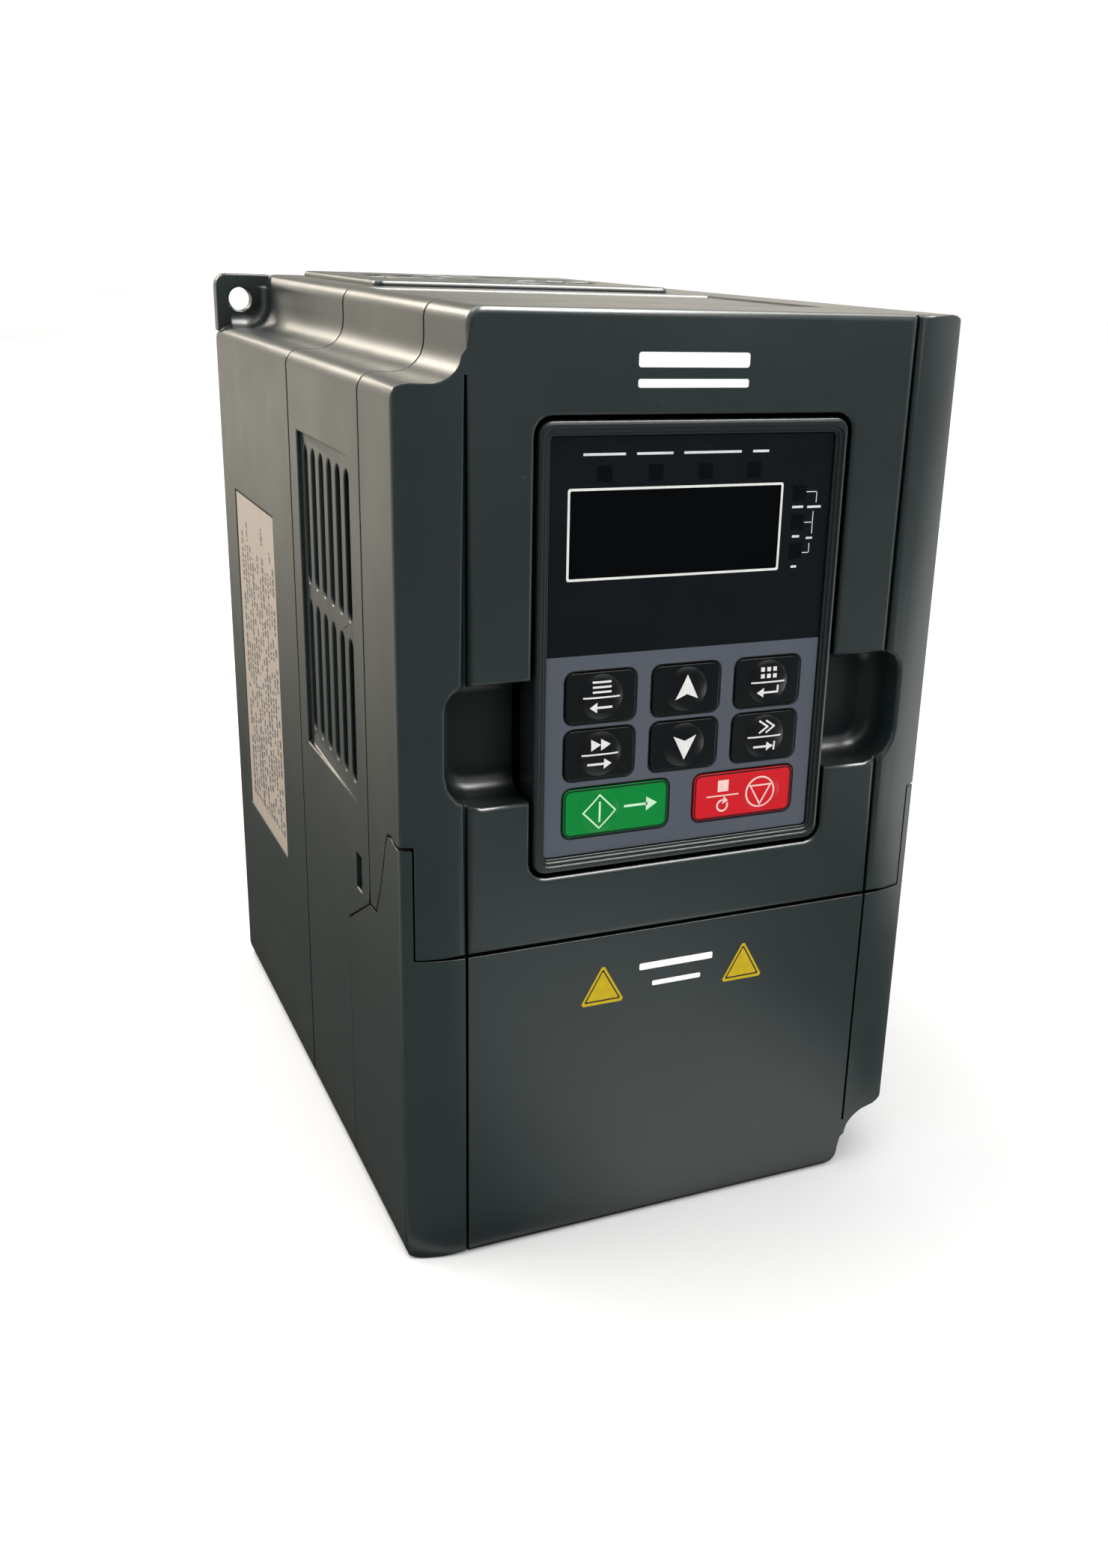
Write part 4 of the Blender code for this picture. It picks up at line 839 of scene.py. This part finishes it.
def cover_print():
    """Two plain triangles and two plain bars between them."""
    yellow, dark = [], []
    for centre in (-16.1, 15.7):
        base, top = 51.9, 60.7
        outer = rounded_triangle(centre, base, top, 4.9, 0.7)
        middle = rounded_triangle(centre, base + 0.12, top - 0.22, 4.72, 0.6)
        inner = rounded_triangle(centre, base + 0.62, top - 1.0, 4.02, 0.3)
        core = rounded_triangle(centre, base + 0.95, top - 1.55, 3.5, 0.2)
        yellow += frame_outline(outer, middle) + [core]
        yellow += frame_outline(middle, inner)
        dark += frame_outline(inner, core)
    white = [rounded_rect(0.2, 58.7, 16.6, 1.5, 0.3, 2),
             rounded_rect(0.4, 54.6, 11.0, 1.1, 0.3, 2)]
    return [(yellow, yellow_ink), (dark, dark_ink_and_slot_shade), (white, mark_ink)]


def rounded_triangle(centre, base, top, half, radius):
    """An upright triangle with small round corners."""
    corners = [(centre - half, base), (centre + half, base), (centre, top)]
    middle = (centre, base + (top - base) / 3)
    points = []
    for i, (a, b) in enumerate(corners):
        for neighbour in (corners[i - 1], corners[(i + 1) % 3]):
            length = math.hypot(neighbour[0] - a, neighbour[1] - b)
            points.append((a + (neighbour[0] - a) * radius / length,
                           b + (neighbour[1] - b) * radius / length))
    return points


print_piece("cover_print", "terminal_cover", on_front, cover_print())


def on_label(a, b):
    """A place just outside the nameplate, from (d, z)."""
    return point(LABEL_X, a, b)


def label_print():
    """Rows of short dashes that run up the nameplate."""
    draw = random.Random(11)
    dashes = []
    for row in range(LABEL_ROWS):
        d = LABEL_FIRST_D + row * LABEL_ROW_PITCH
        height = 1.3 if row % 4 else 1.75
        z = LABEL_LOW_Z
        end = LABEL_HIGH_Z - draw.uniform(0.0, 16.0)
        while z < end:
            length = draw.uniform(0.5, 2.2)
            dashes.append(bar(d - height / 2, z, d + height / 2, min(z + length, end)))
            z += length + draw.choice((0.4, 0.4, 0.5, 0.9, 3.2))
    return [(dashes, label_ink)]


print_piece("nameplate_print", "case", on_label, label_print())


# ---------------------------------------------------------------- terminals and small parts

def disc(bm, x, z, radius, front, back, steps=18, slot=0.0, cross=False):
    """A round screw head that faces forward, with a slot or a cross recess drawn into it as flat
    bars of painted shade.
    """
    rings = []
    for size, d in ((radius, back), (radius, front + 0.25), (radius - 0.25, front)):
        rings.append([bm.verts.new(point(a, d, b)) for a, b in arc(x, z, size, 0, 360, steps)[:-1]])
    for ring, other in zip(rings, rings[1:]):
        for i in range(steps):
            j = (i + 1) % steps
            bm.faces.new((ring[i], ring[j], other[j], other[i]))
    bm.faces.new(rings[-1])
    bm.faces.new(list(reversed(rings[0])))
    reach = radius * 0.72
    bars = [(reach, slot / 2)] + ([(slot / 2, reach)] if cross else [])
    for half_a, half_b in bars:
        # Painted shade: flat bars of the second material stand where the recess would lie in shade
        corners = [bm.verts.new(point(x + a, front - 0.02, z + b)) for a, b in
                   ((-half_a, -half_b), (half_a, -half_b), (half_a, half_b), (-half_a, half_b))]
        bm.faces.new(corners).material_index = 1


def solid_box(bm, x, d, z, index=0):
    """A plain box from its three spans."""
    plan = ((x[0], d[0]), (x[1], d[0]), (x[1], d[1]), (x[0], d[1]))
    low, high = [[bm.verts.new(point(a, b, level)) for a, b in plan] for level in z]
    walls = [[low[i], low[(i + 1) % 4], high[(i + 1) % 4], high[i]] for i in range(4)]
    for corners in [list(reversed(low)), high] + walls:
        bm.faces.new(corners).material_index = index


def fixed_piece(name, bm, slot, *mats):
    """Finishes a small fixed part inside the case."""
    obj = finish_mesh(name, bm, *mats)
    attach(obj, "case")
    return obj


def terminal_details():
    """Screws and clamp plates of the power terminals and of the control terminals."""
    screws = bmesh.new()
    for i in range(POWER_COUNT):
        x = (i - (POWER_COUNT - 1) / 2) * POWER_PITCH
        disc(screws, x, POWER_SCREW_Z, 3.0, 42.6, 45.9, 20, 0.7, True)
        solid_box(screws, (x - 1.8, x + 1.8), (36.0, 36.6), (18.8, 22.3))
    fixed_piece("power_terminal_screws", screws, "steel", steel, dark_ink_and_slot_shade)
    small = bmesh.new()
    for i in range(CONTROL_COUNT):
        x = (i - (CONTROL_COUNT - 1) / 2) * CONTROL_PITCH
        disc(small, x, CONTROL_SCREW_Z, 1.25, 16.25, 16.48, 14, 0.35)
        solid_box(small, (x - 1.2, x + 1.2), (19.2, 19.5), (46.8, 49.2))
    fixed_piece("control_terminal_screws", small, "steel", steel, dark_ink_and_slot_shade)


def board_details():
    """Rows of small chips, capacitors and resistors on the control board."""
    draw = random.Random(5)
    parts = bmesh.new()
    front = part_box("control_board")[0][1] * 1000 + DEPTH / 2
    for row in range(9):
        z = 60.0 + row * 11.6
        x = -36.0
        while x < 37.0:
            wide = draw.choice((1.6, 1.6, 2.2, 5.0))
            if abs(x) < 13.0 and 108.0 < z < 140.0 or x < -17.0 and 68.0 < z < 94.0:
                x += 4.0
                continue
            if wide > 4:
                solid_box(parts, (x, x + wide), (front - 1.5, front - 0.02), (z, z + 3.9))
                for pin in range(4):
                    at = x + 0.5 + pin * 1.27
                    solid_box(parts, (at, at + 0.4), (front - 0.5, front - 0.02),
                              (z - 0.8, z + 4.7), 1)
            else:
                solid_box(parts, (x, x + wide), (front - 0.6, front - 0.02), (z, z + wide / 2))
                for cap in (x - 0.3, x + wide - 0.1):
                    solid_box(parts, (cap, cap + 0.4), (front - 0.65, front - 0.02),
                              (z - 0.03, z + wide / 2 + 0.03), 1)
            x += wide + draw.uniform(1.6, 5.0)
    fixed_piece("control_board_parts", parts, "black_plastic", black_plastic, steel)


terminal_details()
board_details()


# ---------------------------------------------------------------- stage, lights and camera

def area_light(name, location, target, size, size_y, energy, color):
    """A soft rectangular light aimed at a place."""
    data = bpy.data.lights.new(name, "AREA")
    data.shape = "RECTANGLE"
    data.size = size
    data.size_y = size_y
    data.energy = energy
    data.color = color
    obj = bpy.data.objects.new(name, data)
    obj.location = location
    obj.rotation_euler = (Vector(target) - Vector(location)).to_track_quat("-Z", "Y").to_euler()
    scene.collection.objects.link(obj)
    return obj


def make_floor():
    """A wide pale floor."""
    bm = bmesh.new()
    bmesh.ops.create_circle(bm, cap_ends=True, radius=6.0, segments=64)
    floor = finish_mesh("floor", bm)
    floor.location.z = -0.0002
    mat, tree, shader, coords = shader_tree("floor_paper")
    tone = ramp(tree, noise(tree, coords, 3.0), 0.3, 0.7)
    paper_tone = mix(tree, tone, (0.86, 0.86, 0.855), (0.885, 0.885, 0.88))
    tree.links.new(paper_tone, shader.inputs["Base Color"])
    shader.inputs["Roughness"].default_value = 0.9
    shader.inputs["Specular IOR Level"].default_value = 0.1
    floor.data.materials.append(mat)


def make_world():
    """Even pale surroundings."""
    world = bpy.data.worlds.new("studio")
    scene.world = world
    world.use_nodes = True
    background = world.node_tree.nodes["Background"]
    background.inputs["Color"].default_value = (1.0, 1.0, 1.0, 1.0)
    background.inputs["Strength"].default_value = 1.15


def reflector(name, corners, fades, low, high):
    """A studio card that only reflections see; its tone rises with the product of its fades."""
    bm = bmesh.new()
    bm.faces.new([bm.verts.new(corner) for corner in corners])
    card = finish_mesh(name, bm)
    mat, tree, shader, coords = shader_tree(name)
    split = tree.nodes.new("ShaderNodeSeparateXYZ")
    tree.links.new(coords, split.inputs["Vector"])
    share = None
    for axis, start, end in fades:
        fade = ramp(tree, split.outputs[axis], start, end)
        share = fade if share is None else maths(tree, "MULTIPLY", share, fade)
    glow = tree.nodes.new("ShaderNodeEmission")
    tree.links.new(mix(tree, share, low, high), glow.inputs["Color"])
    tree.links.new(glow.outputs["Emission"], tree.nodes["Material Output"].inputs["Surface"])
    card.data.materials.append(mat)
    card.visible_camera = False
    card.visible_diffuse = False
    card.visible_shadow = False
    card.visible_transmission = False
    card.visible_volume_scatter = False


def level_card(x, y, z):
    """Corners of a level card from its spans in metres."""
    return ((x[0], y[0], z), (x[1], y[0], z), (x[1], y[1], z), (x[0], y[1], z))


def upright_card(x, y, z):
    """Corners of a card that stands across the depth."""
    return ((x[0], y, z[0]), (x[1], y, z[0]), (x[1], y, z[1]), (x[0], y, z[1]))


make_floor()
make_world()
reflector("back_left_floor_card", level_card((-3, 0), (-0.079, 3), 0.0001),
          (("X", -0.11, -0.28),), (0.105, 0.100, 0.085), (1.15, 1.05, 0.88))
reflector("back_right_floor_card", level_card((0, 3), (-0.079, 3), 0.0001),
          (("X", 0.11, 0.28),), (0.13, 0.124, 0.105), (1.05, 0.97, 0.85))
reflector("front_floor_card", level_card((-3, 0.12), (-3, -0.081), 0.0001),
          (("Y", -0.34, -0.13), ("X", -0.035, 0.0), ("X", 0.085, 0.055)),
          (0.03, 0.032, 0.032), (1.05, 1.06, 1.02))
reflector("right_floor_card", level_card((0.12, 3), (-3, -0.081), 0.0001),
          (("X", 0.18, 0.24), ("Y", -0.37, -0.30)), (0.03, 0.032, 0.032), (2.0, 2.05, 2.0))
reflector("front_card", upright_card((-3, 3), -2.2, (0.0, 2.4)),
          (("Z", 0.0, 2.4),), (0.02, 0.02, 0.02), (0.10, 0.10, 0.10))
reflector("back_card", upright_card((-0.5, 3), 2.6, (0.0, 2.2)),
          (("X", 0.75, 1.15),), (0.50, 0.46, 0.39), (1.02, 0.94, 0.82))
reflector("back_left_card", upright_card((-3, -0.5), 2.6, (0.0, 2.2)),
          (("X", -3.0, -0.5),), (1.1, 1.0, 0.85), (1.1, 1.0, 0.85))
reflector("back_strip", upright_card((-2.0, -0.5), 2.5, (1.05, 1.70)),
          (("X", -2.0, -1.6),), (26.0, 23.8, 20.2), (26.0, 23.8, 20.2))
reflector("overhead_card", level_card((0.10, 0.95), (-0.75, 0.20), 1.2),
          (("X", 0.0, 0.1),), (36.0, 35.4, 33.6), (36.0, 35.4, 33.6))
area_light("key_light", (-0.35, 0.35, 1.15), (0.0, 0.0, 0.10), 0.9, 0.5, 9.0, (1.0, 0.955, 0.89))
area_light("fill_light", (0.55, -1.1, 0.75), (0.0, 0.0, 0.09), 0.8, 0.8, 3.0, (0.93, 0.965, 1.0))

camera_data = bpy.data.cameras.new("camera")
camera_data.sensor_width = 36.0
camera_data.lens = 34.9
camera_data.shift_x = -0.0547
camera_data.shift_y = 0.0159
camera_data.clip_start = 0.01
camera = bpy.data.objects.new("camera", camera_data)
scene.collection.objects.link(camera)
right = Vector((0.9059, -0.4219, 0.0373))
up = Vector((0.1148, 0.3294, 0.9372))
back = Vector((-0.4077, -0.8447, 0.3468))
camera.matrix_world = (Matrix.Translation((-0.1294, -0.3271, 0.1950))
                       @ Matrix((right, up, back)).transposed().to_4x4())
scene.camera = camera
scene.view_settings.view_transform = "Standard"

bpy.context.view_layer.update()
